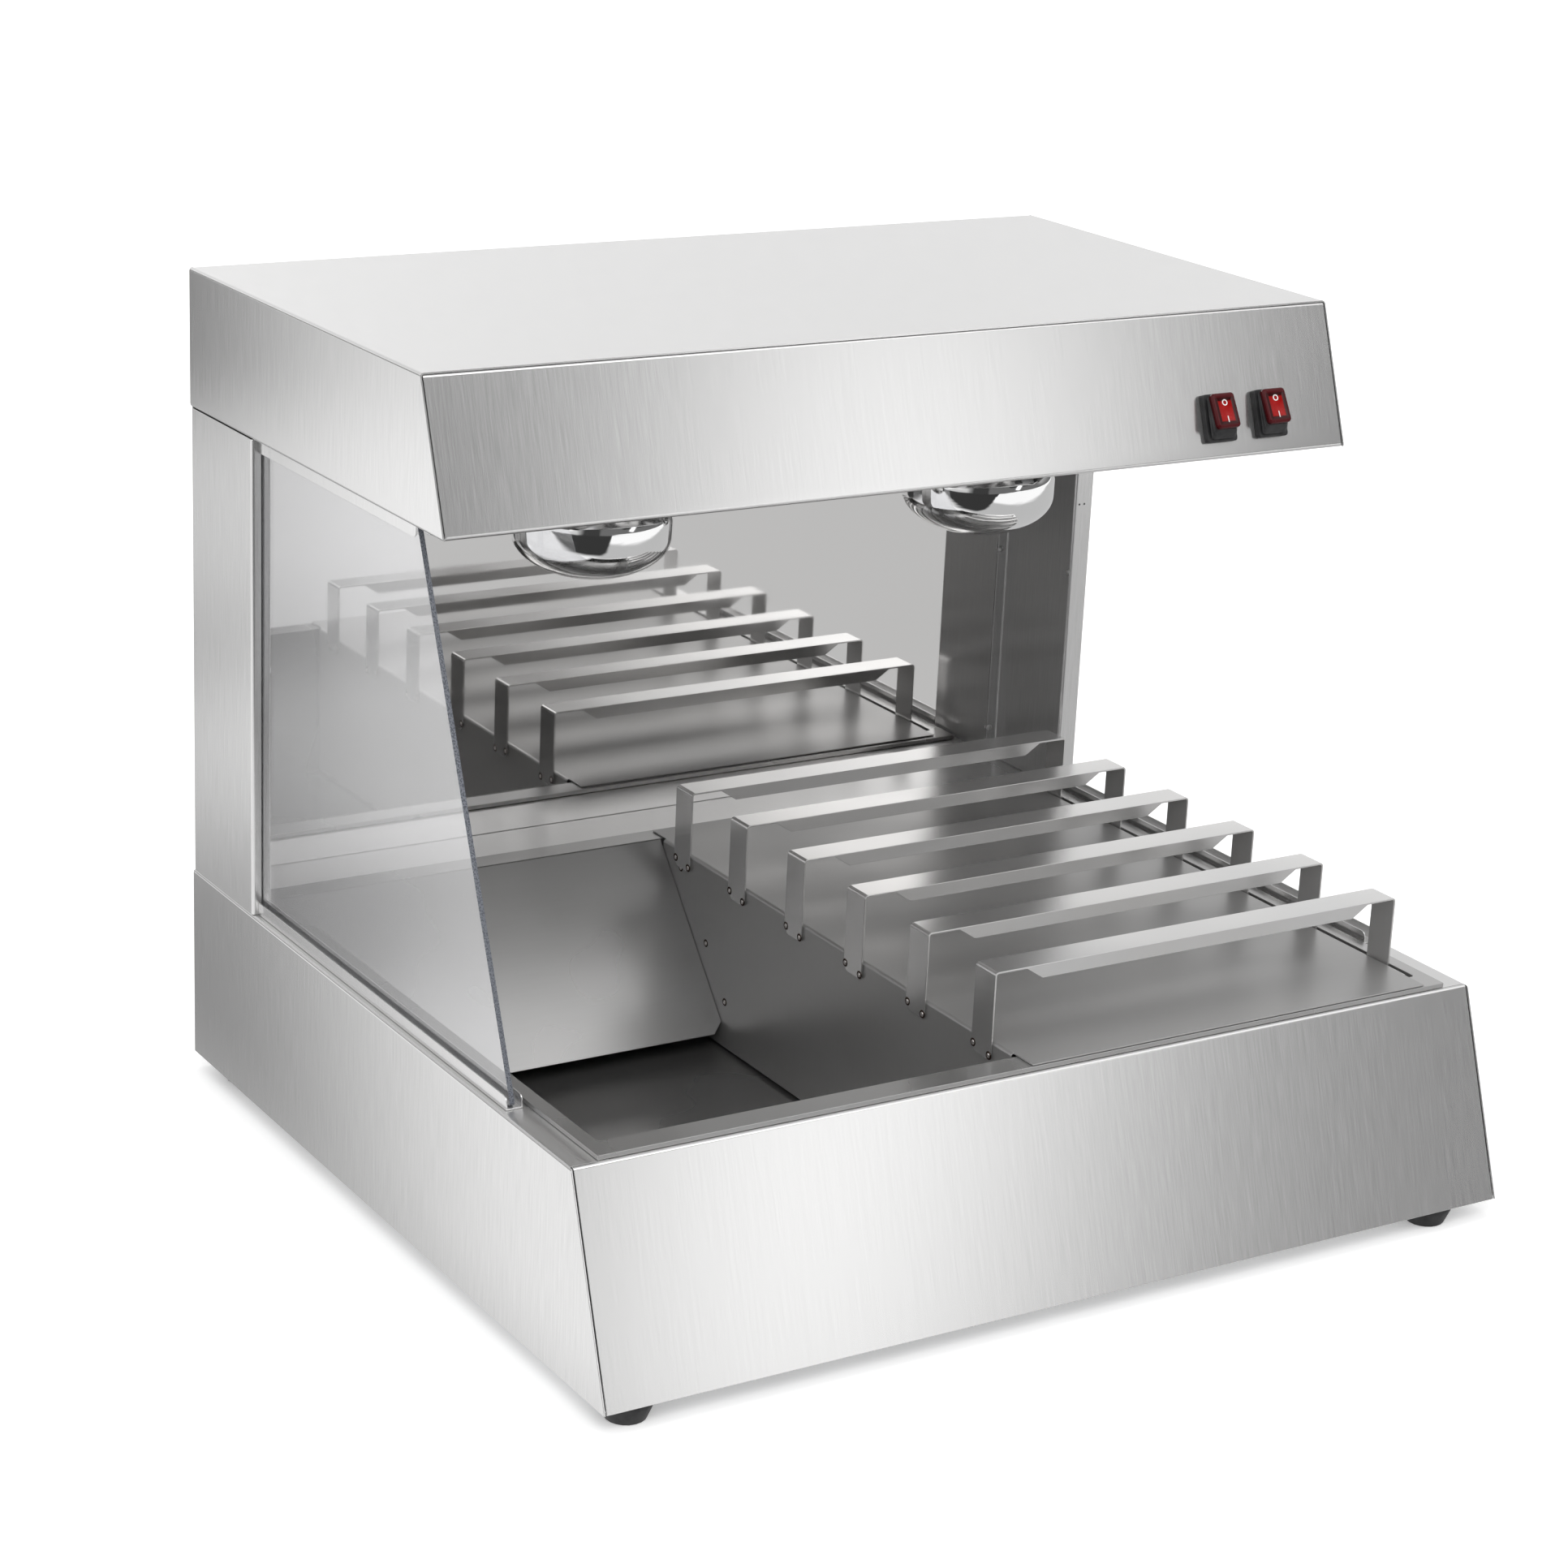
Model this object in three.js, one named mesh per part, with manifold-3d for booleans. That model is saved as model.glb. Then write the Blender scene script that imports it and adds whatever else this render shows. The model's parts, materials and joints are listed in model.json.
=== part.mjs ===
// Counter-top chip warmer: a steel base with a drop-in pan, a bagging rack and a chute in the pan,
// two reflector lamps under a canopy on side columns, a polished back and one loose side glass.
// Millimetres, +Z up, the front towards -Y, left as seen from the front at -X.
// The origin is on the bench, at the middle of the outline, cable gland included.
import * as THREE from "three";
import { mergeVertices } from "three/addons/utils/BufferGeometryUtils.js";
import Module from "manifold-3d";

const wasm = await Module();
wasm.setup();

// Whole casing
const width = 800;
const height = 674;
const sheet = 1.2;
const bendRadius = 1.5;
const seat = 0.3;
const cornerSeam = 1;
const overrun = 5;

// Base
const footHeight = 15;
const baseHeight = 176;
const baseBottomDepth = 712;
const baseLean = 57;
const floorLip = 20;

// Feet
const footTopRadius = 20;
const footBottomRadius = 15;
const footLipHeight = 3;
const footRecessRadius = 6;
const footRecessDepth = 9;
const footFrontInset = 20;
const footRearInset = 40;
const footLeftInset = 28;
const footRightInset = 54;

// Drop-in pan
const panRimHeight = 180;
const panRimSide = 11.8;
const panRimEnd = 21.5;
const panSideInset = 22.6;
const panRearInset = 80;
const panFrontGap = 3;
const panFloorHeight = 30;
const panCornerRadius = 3;
const rimGap = 1.2;

// Columns
const columnDepth = 120;
const columnFace = 19;
const columnFlange = 10;
const columnFlangeInset = 22;
const columnReturn = 15;
const glassGroove = 12;

// Canopy
const canopyHeight = 111;
const canopyTopDepth = 408;
const canopyLean = 40;
const canopySideLip = 20;
const canopyFrontLip = 14;
const canopyTopReturn = 15;
const canopyEndReturn = 12;
const canopyRearFlange = 20;

// Polished back and rear cover
const mirrorSheet = 1;
const mirrorTuck = 5;

// Side glass and its tracks
const glassThickness = 4;
const glassInset = 8.5;
const glassRearReach = 8;
const glassTopGap = 5;
const glassFrontGap = 105;
const glassCornerRadius = 4;
const grooveClearance = 0.5;
const trackSheet = 1;
const trackInset = 5;
const trackWidth = 13;
const trackHeight = 10;
const trackTopGap = 53;
const trackCornerRadius = 5;

// Lamps, their holders and the tray that carries them
const lampOffset = 178.5;
const lampInset = 258;
const lampRadius = 62.5;
const lampLength = 178;
const lampDrop = 183;
const lampFaceRise = 34;
const lampShoulderRise = 14;
const lampNeckRadius = 21;
const lampNeckRise = 118;
const lampConeRise = 138;
const lampWall = 1.2;
const capRadius = 13.2;
const capLength = 26;
const capContactRadius = 5;
const capContactHeight = 3;
const capThreadDepth = 0.8;
const holderRadius = 24;
const holderBodyRadius = 19;
const holderSkirt = 14;
const holderHeight = 42;
const holderClearance = 0.6;
const trayDrop = 22;
const trayLip = 16;
const trayFrontGap = 15;
const leadHoleRadius = 4;

// Switches: a rubber frame with a collar, a capped rocker and a body behind the panel
const switchInsets = [123.4, 73.1];
const switchDrop = 85.3;
const bootWidth = 28.4;
const bootHeight = 37.9;
const bootRise = 5.5;
const bootCornerRadius = 2.5;
const bootCollarInset = 3.5;
const bootCollarHeight = 1.8;
const rockerWidth = 22;
const rockerLength = 25;
const rockerRise = 14.8;
const rockerHollow = 0.6;
const rockerSkirt = 4.5;
const rockerCoreWidth = 14;
const rockerCoreLength = 15;
const rockerPivotDepth = 2;
const rockerHubRadius = 3.4;
const rockerTilt = 10;
const rockerSwingGap = 0.45;
const switchBodyWidth = 21;
const switchBodyLength = 28;
const switchBodyDepth = 22;
const switchPocketDepth = 9;
const bladeWidth = 6.3;
const bladeThickness = 0.8;
const bladeLength = 8;
const bladePitch = 11;
const switchCoverMargin = 14;
const switchCoverDepth = 38;
const switchCoverLift = 4;

// Cable entry and leads
const glandReach = 12;
const glandInset = 80;
const glandDrop = 59;
const glandDomeRadius = 9;
const glandFlangeRadius = 11;
const glandFlangeThickness = 3;
const glandShankRadius = 6;
const glandBoreRadius = 3.6;
const glandNutRadius = 10;
const glandNutThickness = 6;
const glandMouthRadius = 5;
const blockWidth = 36;
const blockDepth = 18;
const blockHeight = 13;
const blockPegRadius = 3;
const blockPegRise = 1.5;
const blockInset = 70;
const leadRadius = 2;
const supplyRadius = 2.8;
const leadBend = 6;
const leadRise = 4.5;

// Bagging rack with its rails
const rackLeft = 381.8;
const rackRightInset = 39.5;
const rackRearInset = 84.5;
const rackFrontGap = 0.7;
const rackFoldRearInset = 108;
const rackFoldFrontGap = 25;
const rackFoldGap = 3;
const rackRightFold = 24;
const railCount = 6;
const railFrontGap = 23;
const railRearInset = 156;
const railWidth = 26;
const railSheet = 1.5;
const railRise = 55.6;
const railLegDrop = 14.5;
const railLegChamfer = 5;
const railFlangeHeight = 11;
const railFlangeStart = 26;
const railFlangeTaper = 17;

// Chute
const chuteLength = 178;
const chuteLean = 41.6;
const chuteGap = 1.3;
const chuteCorner = 10;
const chuteLegDepth = 88;
const chuteLegSink = 2.5;

// Facets of round pieces and how far along a shape its points lie
const bendSteps = 3;
const roundSteps = 28;
const footSteps = 20;
const holderSteps = 24;
const leadSides = 8;
const leadBendSteps = 4;
const faceSteps = 6;
const flankSteps = 7;
const cornerSteps = 3;
const hubSteps = 8;
const capThreads = 5;
const flankFullnessShare = 0.9;
const neckFlareShare = 0.62;

// Places worked out from the sizes above
const half = width / 2;
const rackRight = width - rackRightInset;
const switchOffsets = switchInsets.map((inset) => half - inset);
const glandOffset = half - glandInset;
const inner = half - sheet - cornerSeam;
const frontEnd = -(baseBottomDepth + glandReach) / 2;
const rear = frontEnd + baseBottomDepth;
const backFace = rear - sheet - seat;
const foldReach = bendRadius + sheet;
const baseTopDepth = baseBottomDepth - baseLean;
const foremost = rear - Math.max(baseBottomDepth, baseTopDepth);
const canopyBottomDepth = canopyTopDepth + canopyLean;
const canopyBottom = height - canopyHeight;
const trayHeight = height - trayDrop;
const lampBottom = trayHeight - lampDrop;
const glandHeight = height - glandDrop;
const trackTopReach = canopyBottomDepth - trackTopGap;
const glassTopReach = trackTopReach - glassTopGap;
const glassBottomReach = baseTopDepth - glassFrontGap;
const panFrontInset = baseTopDepth - panFrontGap;
const rackFrontInset = panFrontInset - rackFrontGap;
const rackFoldFrontInset = panFrontInset - rackFoldFrontGap;
const railFrontInset = rackFoldFrontInset - railFrontGap;
const railPitch = (railFrontInset - railRearInset) / (railCount - 1);
const railStepBack = (index) => rear - railFrontInset + index * railPitch;

const baseSlope = {
  topY: rear - baseTopDepth,
  topZ: baseHeight,
  run: baseLean,
  rise: baseHeight - footHeight,
};
const canopySlope = {
  topY: rear - canopyTopDepth,
  topZ: height,
  run: canopyLean,
  rise: canopyHeight,
};

const pan = {
  outerX: half - panSideInset,
  innerX: half - panSideInset - panRimSide,
  outerFront: rear - panFrontInset,
  innerFront: rear - panFrontInset + panRimEnd,
  outerRear: rear - panRearInset,
  innerRear: rear - panRearInset - panRimEnd,
};
const rimEndX = pan.innerX + sheet + rimGap;
const rimFront = pan.innerFront - sheet - rimGap;
const rimRear = pan.innerRear + sheet + rimGap;

// Finishes
const finish = (color, metalness, roughness) =>
  new THREE.MeshStandardMaterial({ color, metalness, roughness });
const brushedSteel = finish(0xb9babb, 1, 0.38);
const satinSteel = finish(0x9b9c9c, 1, 0.45);
const mirrorSteel = finish(0xd2d2d0, 1, 0.08);
const zincSteel = finish(0xa8abad, 1, 0.5);
const lampMirror = finish(0xd9dadb, 1, 0.12);
const brass = finish(0xb89a5a, 1, 0.4);
const ceramic = finish(0xeae6dc, 0, 0.55);
const rubber = finish(0x141414, 0, 0.7);
const blackPlastic = finish(0x1b1b1c, 0, 0.5);
const redPlastic = finish(0xc41a14, 0, 0.25);
const whitePlastic = finish(0xe6e4dd, 0, 0.5);
const glass = new THREE.MeshStandardMaterial({
  color: 0xdfe9ec,
  metalness: 0,
  roughness: 0.05,
  transparent: true,
  opacity: 0.35,
});
const leadSleeve = finish(0xd8d3c6, 0, 0.6);

// Turns a closed geometry into a solid with its faces pointing out
function solid(geometry) {
  geometry.deleteAttribute("normal");
  geometry.deleteAttribute("uv");
  const merged = mergeVertices(geometry);
  const corners = merged.attributes.position;
  const faces = [];
  const a = new THREE.Vector3();
  const b = new THREE.Vector3();
  const c = new THREE.Vector3();
  let volume = 0;
  for (let i = 0; i < merged.index.count; i += 3) {
    const face = [0, 1, 2].map((k) => merged.index.getX(i + k));
    if (new Set(face).size < face.length) {
      continue;
    }
    a.fromBufferAttribute(corners, face[0]);
    b.fromBufferAttribute(corners, face[1]);
    c.fromBufferAttribute(corners, face[2]);
    volume += a.dot(b.cross(c));
    faces.push(face);
  }
  const outward = faces.map((face) => (volume < 0 ? face.toReversed() : face));
  return new wasm.Manifold(
    new wasm.Mesh({
      numProp: 3,
      vertProperties: Float32Array.from(corners.array),
      triVerts: Uint32Array.from(outward.flat()),
    }),
  );
}

const join = (first, ...others) => others.reduce((sum, next) => sum.add(next), first);
const cut = (body, ...tools) => tools.reduce((rest, tool) => rest.subtract(tool), body);

function meshOf(name, body, material) {
  const { vertProperties, triVerts } = body.getMesh();
  const geometry = new THREE.BufferGeometry();
  geometry.setAttribute("position", new THREE.BufferAttribute(vertProperties, 3));
  geometry.setIndex(new THREE.BufferAttribute(triVerts, 1));
  geometry.computeVertexNormals();
  const mesh = new THREE.Mesh(geometry, material);
  mesh.name = name;
  return mesh;
}

// Outlines drawn in two of the axes and pushed along the third
function extrusion(outline, from, to) {
  const shape = new THREE.Shape(outline.map(([u, v]) => new THREE.Vector2(u, v)));
  const geometry = new THREE.ExtrudeGeometry(shape, { depth: to - from, bevelEnabled: false });
  geometry.translate(0, 0, from);
  return geometry;
}

const axisX = new THREE.Vector3(1, 0, 0);
const axisY = new THREE.Vector3(0, 1, 0);
const axisZ = new THREE.Vector3(0, 0, 1);

function alongX(outline, from, to) {
  const turn = new THREE.Matrix4().makeBasis(axisY, axisZ, axisX);
  return solid(extrusion(outline, from, to).applyMatrix4(turn));
}

function alongY(outline, from, to) {
  const turn = new THREE.Matrix4().makeBasis(axisX, axisZ, axisY.clone().negate());
  return solid(extrusion(outline, -to, -from).applyMatrix4(turn));
}

const alongZ = (outline, from, to) => solid(extrusion(outline, from, to));

function block([x0, x1], [y0, y1], [z0, z1]) {
  const geometry = new THREE.BoxGeometry(x1 - x0, y1 - y0, z1 - z0);
  geometry.translate((x0 + x1) / 2, (y0 + y1) / 2, (z0 + z1) / 2);
  return solid(geometry);
}

function turnedZ(profile, steps, x, y) {
  const points = profile.map(([r, z]) => new THREE.Vector2(r, z));
  const geometry = new THREE.LatheGeometry(points, steps);
  geometry.rotateX(Math.PI / 2);
  geometry.translate(x, y, 0);
  return solid(geometry);
}

function cylinderZ(radius, [z0, z1], steps, x, y) {
  return turnedZ([[0, z0], [radius, z0], [radius, z1], [0, z1]], steps, x, y);
}

// The two faces of a folded sheet: the path is the near one, the metal lies to its left
function sheetFaces(path, thickness, radius) {
  const near = [];
  const far = [];
  const direction = (from, to) => {
    const length = Math.hypot(to[0] - from[0], to[1] - from[1]);
    return [(to[0] - from[0]) / length, (to[1] - from[1]) / length];
  };
  const offset = ([u, v], normal, by) => [u + normal[0] * by, v + normal[1] * by];
  path.forEach((point, i) => {
    const before = i > 0 ? direction(path[i - 1], point) : direction(point, path[i + 1]);
    const after = i < path.length - 1 ? direction(point, path[i + 1]) : before;
    const normal = [-before[1], before[0]];
    if (i === 0 || i === path.length - 1) {
      near.push(point);
      far.push(offset(point, normal, thickness));
      return;
    }
    const turn = Math.atan2(
      before[0] * after[1] - before[1] * after[0],
      before[0] * after[0] + before[1] * after[1],
    );
    const left = turn > 0;
    const nearRadius = left ? radius + thickness : radius;
    const farRadius = left ? radius : radius + thickness;
    const nextNormal = [-after[1], after[0]];
    const reach = (left ? nearRadius : -nearRadius) / (1 + Math.cos(turn));
    const centre = offset(offset(point, normal, reach), nextNormal, reach);
    for (let step = 0; step <= bendSteps; step += 1) {
      const angle = Math.atan2(normal[1], normal[0]) + (turn * step) / bendSteps;
      const ray = [Math.cos(angle), Math.sin(angle)];
      near.push(offset(centre, ray, left ? -nearRadius : nearRadius));
      far.push(offset(centre, ray, left ? -farRadius : farRadius));
    }
  });
  return { near, far };
}

function foldedSheet(path, thickness = sheet, radius = bendRadius) {
  const { near, far } = sheetFaces(path, thickness, radius);
  return [...near, ...far.reverse()];
}

// A closed outline with the corners at some points rounded
function rounded(points, radii) {
  return points.flatMap((point, i) => {
    const radius = Array.isArray(radii) ? radii[i] : radii;
    if (!radius) {
      return [point];
    }
    const before = points[(i + points.length - 1) % points.length];
    const after = points[(i + 1) % points.length];
    const corner = new THREE.Vector2(...point);
    const toBefore = new THREE.Vector2(...before).sub(corner).normalize();
    const toAfter = new THREE.Vector2(...after).sub(corner).normalize();
    const halfAngle = Math.acos(toBefore.dot(toAfter)) / 2;
    const setback = radius / Math.tan(halfAngle);
    const curve = new THREE.QuadraticBezierCurve(
      corner.clone().addScaledVector(toBefore, setback),
      corner,
      corner.clone().addScaledVector(toAfter, setback),
    );
    return curve.getPoints(cornerSteps).map(({ x, y }) => [x, y]);
  });
}

const rectangle = ([u0, u1], [v0, v1]) => [[u0, v0], [u1, v0], [u1, v1], [u0, v1]];
const mirrored = (path) => path.map(([x, other]) => [-x, other]).reverse();
const sided = (path, side) => (side < 0 ? path : mirrored(path));
const sideName = (side) => (side < 0 ? "left" : "right");
const span = (side, a, b) => (side < 0 ? [-b, -a] : [a, b]);

// The y of a leaning front at a height, moved inwards square to its face
function slopeY({ topY, topZ, run, rise }, z, inset = 0) {
  return topY + ((z - topZ) * run) / rise + (inset * Math.hypot(run, rise)) / rise;
}

// All that lies in front of a leaning front
function aheadOf(slope) {
  const top = slope.topZ + overrun;
  const bottom = slope.topZ - slope.rise - overrun;
  const ahead = Math.min(foremost, slopeY(slope, bottom), slopeY(slope, top)) - overrun;
  return alongX(
    [[ahead, bottom], [slopeY(slope, bottom), bottom], [slopeY(slope, top), top], [ahead, top]],
    -half - overrun,
    half + overrun,
  );
}

const warmer = new THREE.Group();
const add = (name, body, material) => warmer.add(meshOf(name, body, material));

// Base casing
function baseSide(side) {
  const section = sided([[-rimEndX, baseHeight], [-half, baseHeight], [-half, footHeight]], side);
  const wall = alongY(foldedSheet(section), foremost - overrun, rear);
  const rimHeights = [baseHeight - foldReach, baseHeight + overrun];
  const rimSpan = span(side, rimEndX - overrun, half - sheet);
  const frontNotch = block(rimSpan, [foremost, baseSlope.topY + foldReach + seat], rimHeights);
  const rearNotch = block(rimSpan, [rear - foldReach - seat, rear + overrun], rimHeights);
  return cut(wall, aheadOf(baseSlope), frontNotch, rearNotch);
}

function baseFrontPanel() {
  const low = footHeight - overrun;
  const section = foldedSheet([
    [rimFront, baseHeight],
    [baseSlope.topY, baseHeight],
    [slopeY(baseSlope, low), low],
  ]);
  const panel = alongX(section, -inner, inner);
  const ahead = Math.min(foremost, slopeY(baseSlope, low)) - overrun;
  const below = block([-half, half], [ahead, rear], [low - overrun, footHeight]);
  const notches = [-1, 1].map((side) =>
    block(
      span(side, rimEndX - seat, half),
      [baseSlope.topY + foldReach, rear],
      [baseHeight - foldReach, baseHeight + overrun],
    ),
  );
  return cut(panel, below, ...notches);
}

function baseRearPanel() {
  const section = foldedSheet([[rear, footHeight], [rear, baseHeight], [rimRear, baseHeight]]);
  const panel = alongX(section, -inner, inner);
  const notches = [-1, 1].map((side) =>
    block(
      span(side, rimEndX - seat, half),
      [rimRear - overrun, rear - foldReach],
      [baseHeight - foldReach, baseHeight + overrun],
    ),
  );
  return cut(panel, ...notches);
}

function baseFloor() {
  const lipTop = footHeight + floorLip;
  const inset = sheet + seat;
  const floorX = half - inset;
  const path = [
    [slopeY(baseSlope, lipTop, inset), lipTop],
    [slopeY(baseSlope, footHeight, inset), footHeight],
    [backFace, footHeight],
    [backFace, lipTop],
  ];
  const { near, far } = sheetFaces(path, sheet, bendRadius);
  const lipEnds = [far[far.length - 1], far[0]];
  const above = lipEnds.map(([y, z]) => [y, z + overrun]);
  const hollow = alongX([...far, ...above], -floorX + sheet, floorX - sheet);
  return cut(alongX(near, -floorX, floorX), hollow);
}

function foot(x, y) {
  const profile = [
    [0, footRecessDepth],
    [footRecessRadius, footRecessDepth],
    [footRecessRadius, 0],
    [footBottomRadius, 0],
    [footTopRadius, footHeight - footLipHeight],
    [footTopRadius, footHeight],
    [0, footHeight],
  ];
  return turnedZ(profile, footSteps, x, y);
}

function addBase() {
  for (const side of [-1, 1]) {
    add("base_" + sideName(side) + "_side", baseSide(side), brushedSteel);
  }
  add("base_front_panel", baseFrontPanel(), brushedSteel);
  add("base_rear_panel", baseRearPanel(), brushedSteel);
  add("base_floor", baseFloor(), zincSteel);
  const footX = { left: -half + footLeftInset, right: half - footRightInset };
  const footY = { front: frontEnd + footFrontInset, rear: rear - footRearInset };
  for (const [end, y] of Object.entries(footY)) {
    for (const [side, x] of Object.entries(footX)) {
      add("foot_" + end + "_" + side, foot(x, y), rubber);
    }
  }
}

// Drop-in pan: a deep tray with a rim that is turned down all round
function chipPan() {
  const { outerX, innerX, outerFront, innerFront, outerRear, innerRear } = pan;
  const wellX = innerX + sheet;
  const wellFront = innerFront - sheet;
  const wellRear = innerRear + sheet;
  const rimBottom = baseHeight + seat;
  const wellTop = panRimHeight - sheet;
  const well = alongZ(
    rounded(rectangle([-wellX, wellX], [wellFront, wellRear]), panCornerRadius + sheet),
    panFloorHeight - sheet,
    panRimHeight,
  );
  const hollow = alongZ(
    rounded(rectangle([-innerX, innerX], [innerFront, innerRear]), panCornerRadius),
    panFloorHeight,
    panRimHeight + overrun,
  );
  const rim = block([-outerX, outerX], [outerFront, outerRear], [rimBottom, panRimHeight]);
  const underRim = block(
    [-outerX + sheet, outerX - sheet],
    [outerFront + sheet, outerRear - sheet],
    [rimBottom - overrun, wellTop],
  );
  return cut(join(cut(rim, underRim), well), hollow);
}

// Bagging rack: a plate that bridges the pan, folded down at both sides
function rackPlate() {
  const left = rackLeft - half;
  const right = rackRight - half;
  const bottom = panRimHeight + seat;
  const top = bottom + sheet;
  const section = foldedSheet([
    [right, top - rackRightFold],
    [right, top],
    [left, top],
    [left, panFloorHeight + rackFoldGap],
  ]);
  const folds = alongY(section, rear - rackFoldFrontInset, rear - rackFoldRearInset);
  const plate = block(
    [left + foldReach, right - foldReach],
    [rear - rackFrontInset, rear - rackRearInset],
    [bottom, top],
  );
  return join(folds, plate);
}

function rackRail(index) {
  const legLeft = rackLeft - half - seat - railSheet;
  const legRight = rackRight - half + seat + railSheet;
  const plateTop = panRimHeight + seat + sheet;
  const railTop = plateTop + railRise;
  const legEnd = plateTop - railLegDrop;
  const front = railStepBack(index);
  const back = front + railWidth;
  const section = foldedSheet(
    [[legRight, legEnd], [legRight, railTop], [legLeft, railTop], [legLeft, legEnd]],
    railSheet,
  );
  const flangeEnd = railTop - railFlangeHeight;
  const flange = [
    [legLeft + railFlangeStart, railTop],
    [legLeft + railFlangeStart + railFlangeTaper, flangeEnd],
    [legRight - railFlangeStart - railFlangeTaper, flangeEnd],
    [legRight - railFlangeStart, railTop],
  ];
  const corner = (y, inwards) =>
    alongX(
      [
        [y - inwards * overrun, legEnd - overrun],
        [y + inwards * (railLegChamfer + overrun), legEnd - overrun],
        [y - inwards * overrun, legEnd + railLegChamfer + overrun],
      ],
      -half,
      half,
    );
  const hoop = cut(alongY(section, front, back), corner(front, 1), corner(back, -1));
  const frontFlange = alongY(flange, front, front + railSheet);
  const backFlange = alongY(flange, back - railSheet, back);
  return join(hoop, frontFlange, backFlange);
}

// Chute: a leaning plate beside the rack, on a folded leg at its outer end
function chutePlate() {
  const lean = THREE.MathUtils.degToRad(chuteLean);
  const down = [-Math.sin(lean), -Math.cos(lean)];
  const across = [Math.cos(lean), -Math.sin(lean)];
  const left = -pan.innerX + chuteGap;
  const right = rackLeft - half - seat;
  const topY = pan.innerRear - chuteGap - across[0] * sheet;
  const at = (along, deep) => [
    topY + down[0] * along + across[0] * deep,
    panRimHeight + down[1] * along + across[1] * deep,
  ];
  const plate = alongX([at(0, 0), at(chuteLength, 0), at(chuteLength, sheet), at(0, sheet)], left, right);
  const corner = (x, inwards) => {
    const outline = [
      [x - inwards * overrun, chuteLength + overrun],
      [x - inwards * overrun, chuteLength - chuteCorner - overrun],
      [x + inwards * (chuteCorner + overrun), chuteLength + overrun],
    ];
    const geometry = extrusion(outline, -overrun, sheet + overrun);
    const turn = new THREE.Matrix4().makeBasis(
      axisX,
      new THREE.Vector3(0, ...down),
      new THREE.Vector3(0, ...across),
    );
    return solid(geometry.applyMatrix4(turn).translate(0, topY, panRimHeight));
  };
  const legTop = at(chuteLegSink, sheet / 2);
  const legFootY = topY - chuteLegDepth;
  const legFootZ = panFloorHeight + seat;
  const legSlope = panRimHeight - (chuteLegDepth / Math.tan(lean));
  const leg = alongX(
    [legTop, [legFootY, legSlope], [legFootY, legFootZ], [legTop[0], legFootZ]],
    left,
    left + sheet,
  );
  return join(cut(plate, corner(left, 1), corner(right, -1)), leg);
}

function addPan() {
  add("chip_pan", chipPan(), satinSteel);
  add("rack_plate", rackPlate(), satinSteel);
  for (let index = 0; index < railCount; index += 1) {
    add("rack_rail_" + (index + 1), rackRail(index), satinSteel);
  }
  add("chute_plate", chutePlate(), satinSteel);
}

// Columns: folded uprights, the left one with a groove for the side glass
function column(side) {
  const front = rear - columnDepth;
  const flangeY = rear - columnFlangeInset;
  const face = -half + columnFace;
  const bottom = baseHeight + seat;
  const top = canopyBottom - seat;
  const section = sided(
    [
      [-half + columnReturn, backFace],
      [-half, backFace],
      [-half, front],
      [face, front],
      [face, flangeY],
      [face + columnFlange, flangeY],
    ],
    side,
  );
  const post = alongZ(foldedSheet(section), bottom, top);
  if (side > 0) {
    return post;
  }
  const grooveLeft = -half + glassInset - grooveClearance;
  const grooveRight = grooveLeft + glassThickness + 2 * grooveClearance;
  const ends = [bottom + trackSheet, top - trackSheet];
  const channel = block(
    [grooveLeft - sheet, grooveRight + sheet],
    [front, front + glassGroove + sheet],
    [bottom, top],
  );
  const groove = block([grooveLeft, grooveRight], [front - overrun, front + glassGroove], ends);
  return cut(join(post, channel), groove);
}

function mirrorPanel() {
  const face = rear - columnFlangeInset + sheet + seat;
  const reach = half - columnFace - mirrorTuck;
  return block([-reach, reach], [face, face + mirrorSheet], [baseHeight + seat, trayHeight - seat]);
}

function rearCover() {
  const reach = half - sheet - seat;
  const cover = block(
    [-reach, reach],
    [rear - sheet, rear],
    [baseHeight + seat, height - canopyRearFlange - seat],
  );
  const geometry = new THREE.CylinderGeometry(
    glandShankRadius + seat,
    glandShankRadius + seat,
    sheet + 2 * overrun,
    holderSteps,
  );
  geometry.translate(glandOffset, rear, glandHeight);
  return cut(cover, solid(geometry));
}

// Canopy: top and sides in one sheet, with a leaning front panel between the sides
function canopyShell() {
  const lipEnd = half - canopySideLip;
  const section = foldedSheet([
    [lipEnd, canopyBottom],
    [half, canopyBottom],
    [half, height],
    [-half, height],
    [-half, canopyBottom],
    [-lipEnd, canopyBottom],
  ]);
  const hood = alongY(section, frontEnd, rear);
  const lipHeights = [canopyBottom - overrun, canopyBottom + foldReach];
  const frontLipEnd = slopeY(canopySlope, canopyBottom) + canopyFrontLip + seat;
  const lipReach = half - sheet;
  const notches = [[frontEnd, frontLipEnd], [rear - foldReach, rear + overrun]].map((depths) =>
    block([-lipReach, lipReach], depths, lipHeights),
  );
  const flange = foldedSheet([
    [rear, height - canopyRearFlange],
    [rear, height],
    [rear - canopyRearFlange, height],
  ]);
  const overlap = half - foldReach;
  const trimmed = cut(hood, aheadOf(canopySlope), ...notches);
  const rearEdge = block(
    [-overlap, overlap],
    [rear - foldReach, rear + overrun],
    [height - foldReach, height + overrun],
  );
  return join(cut(trimmed, rearEdge), alongX(flange, -overlap, overlap));
}

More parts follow.
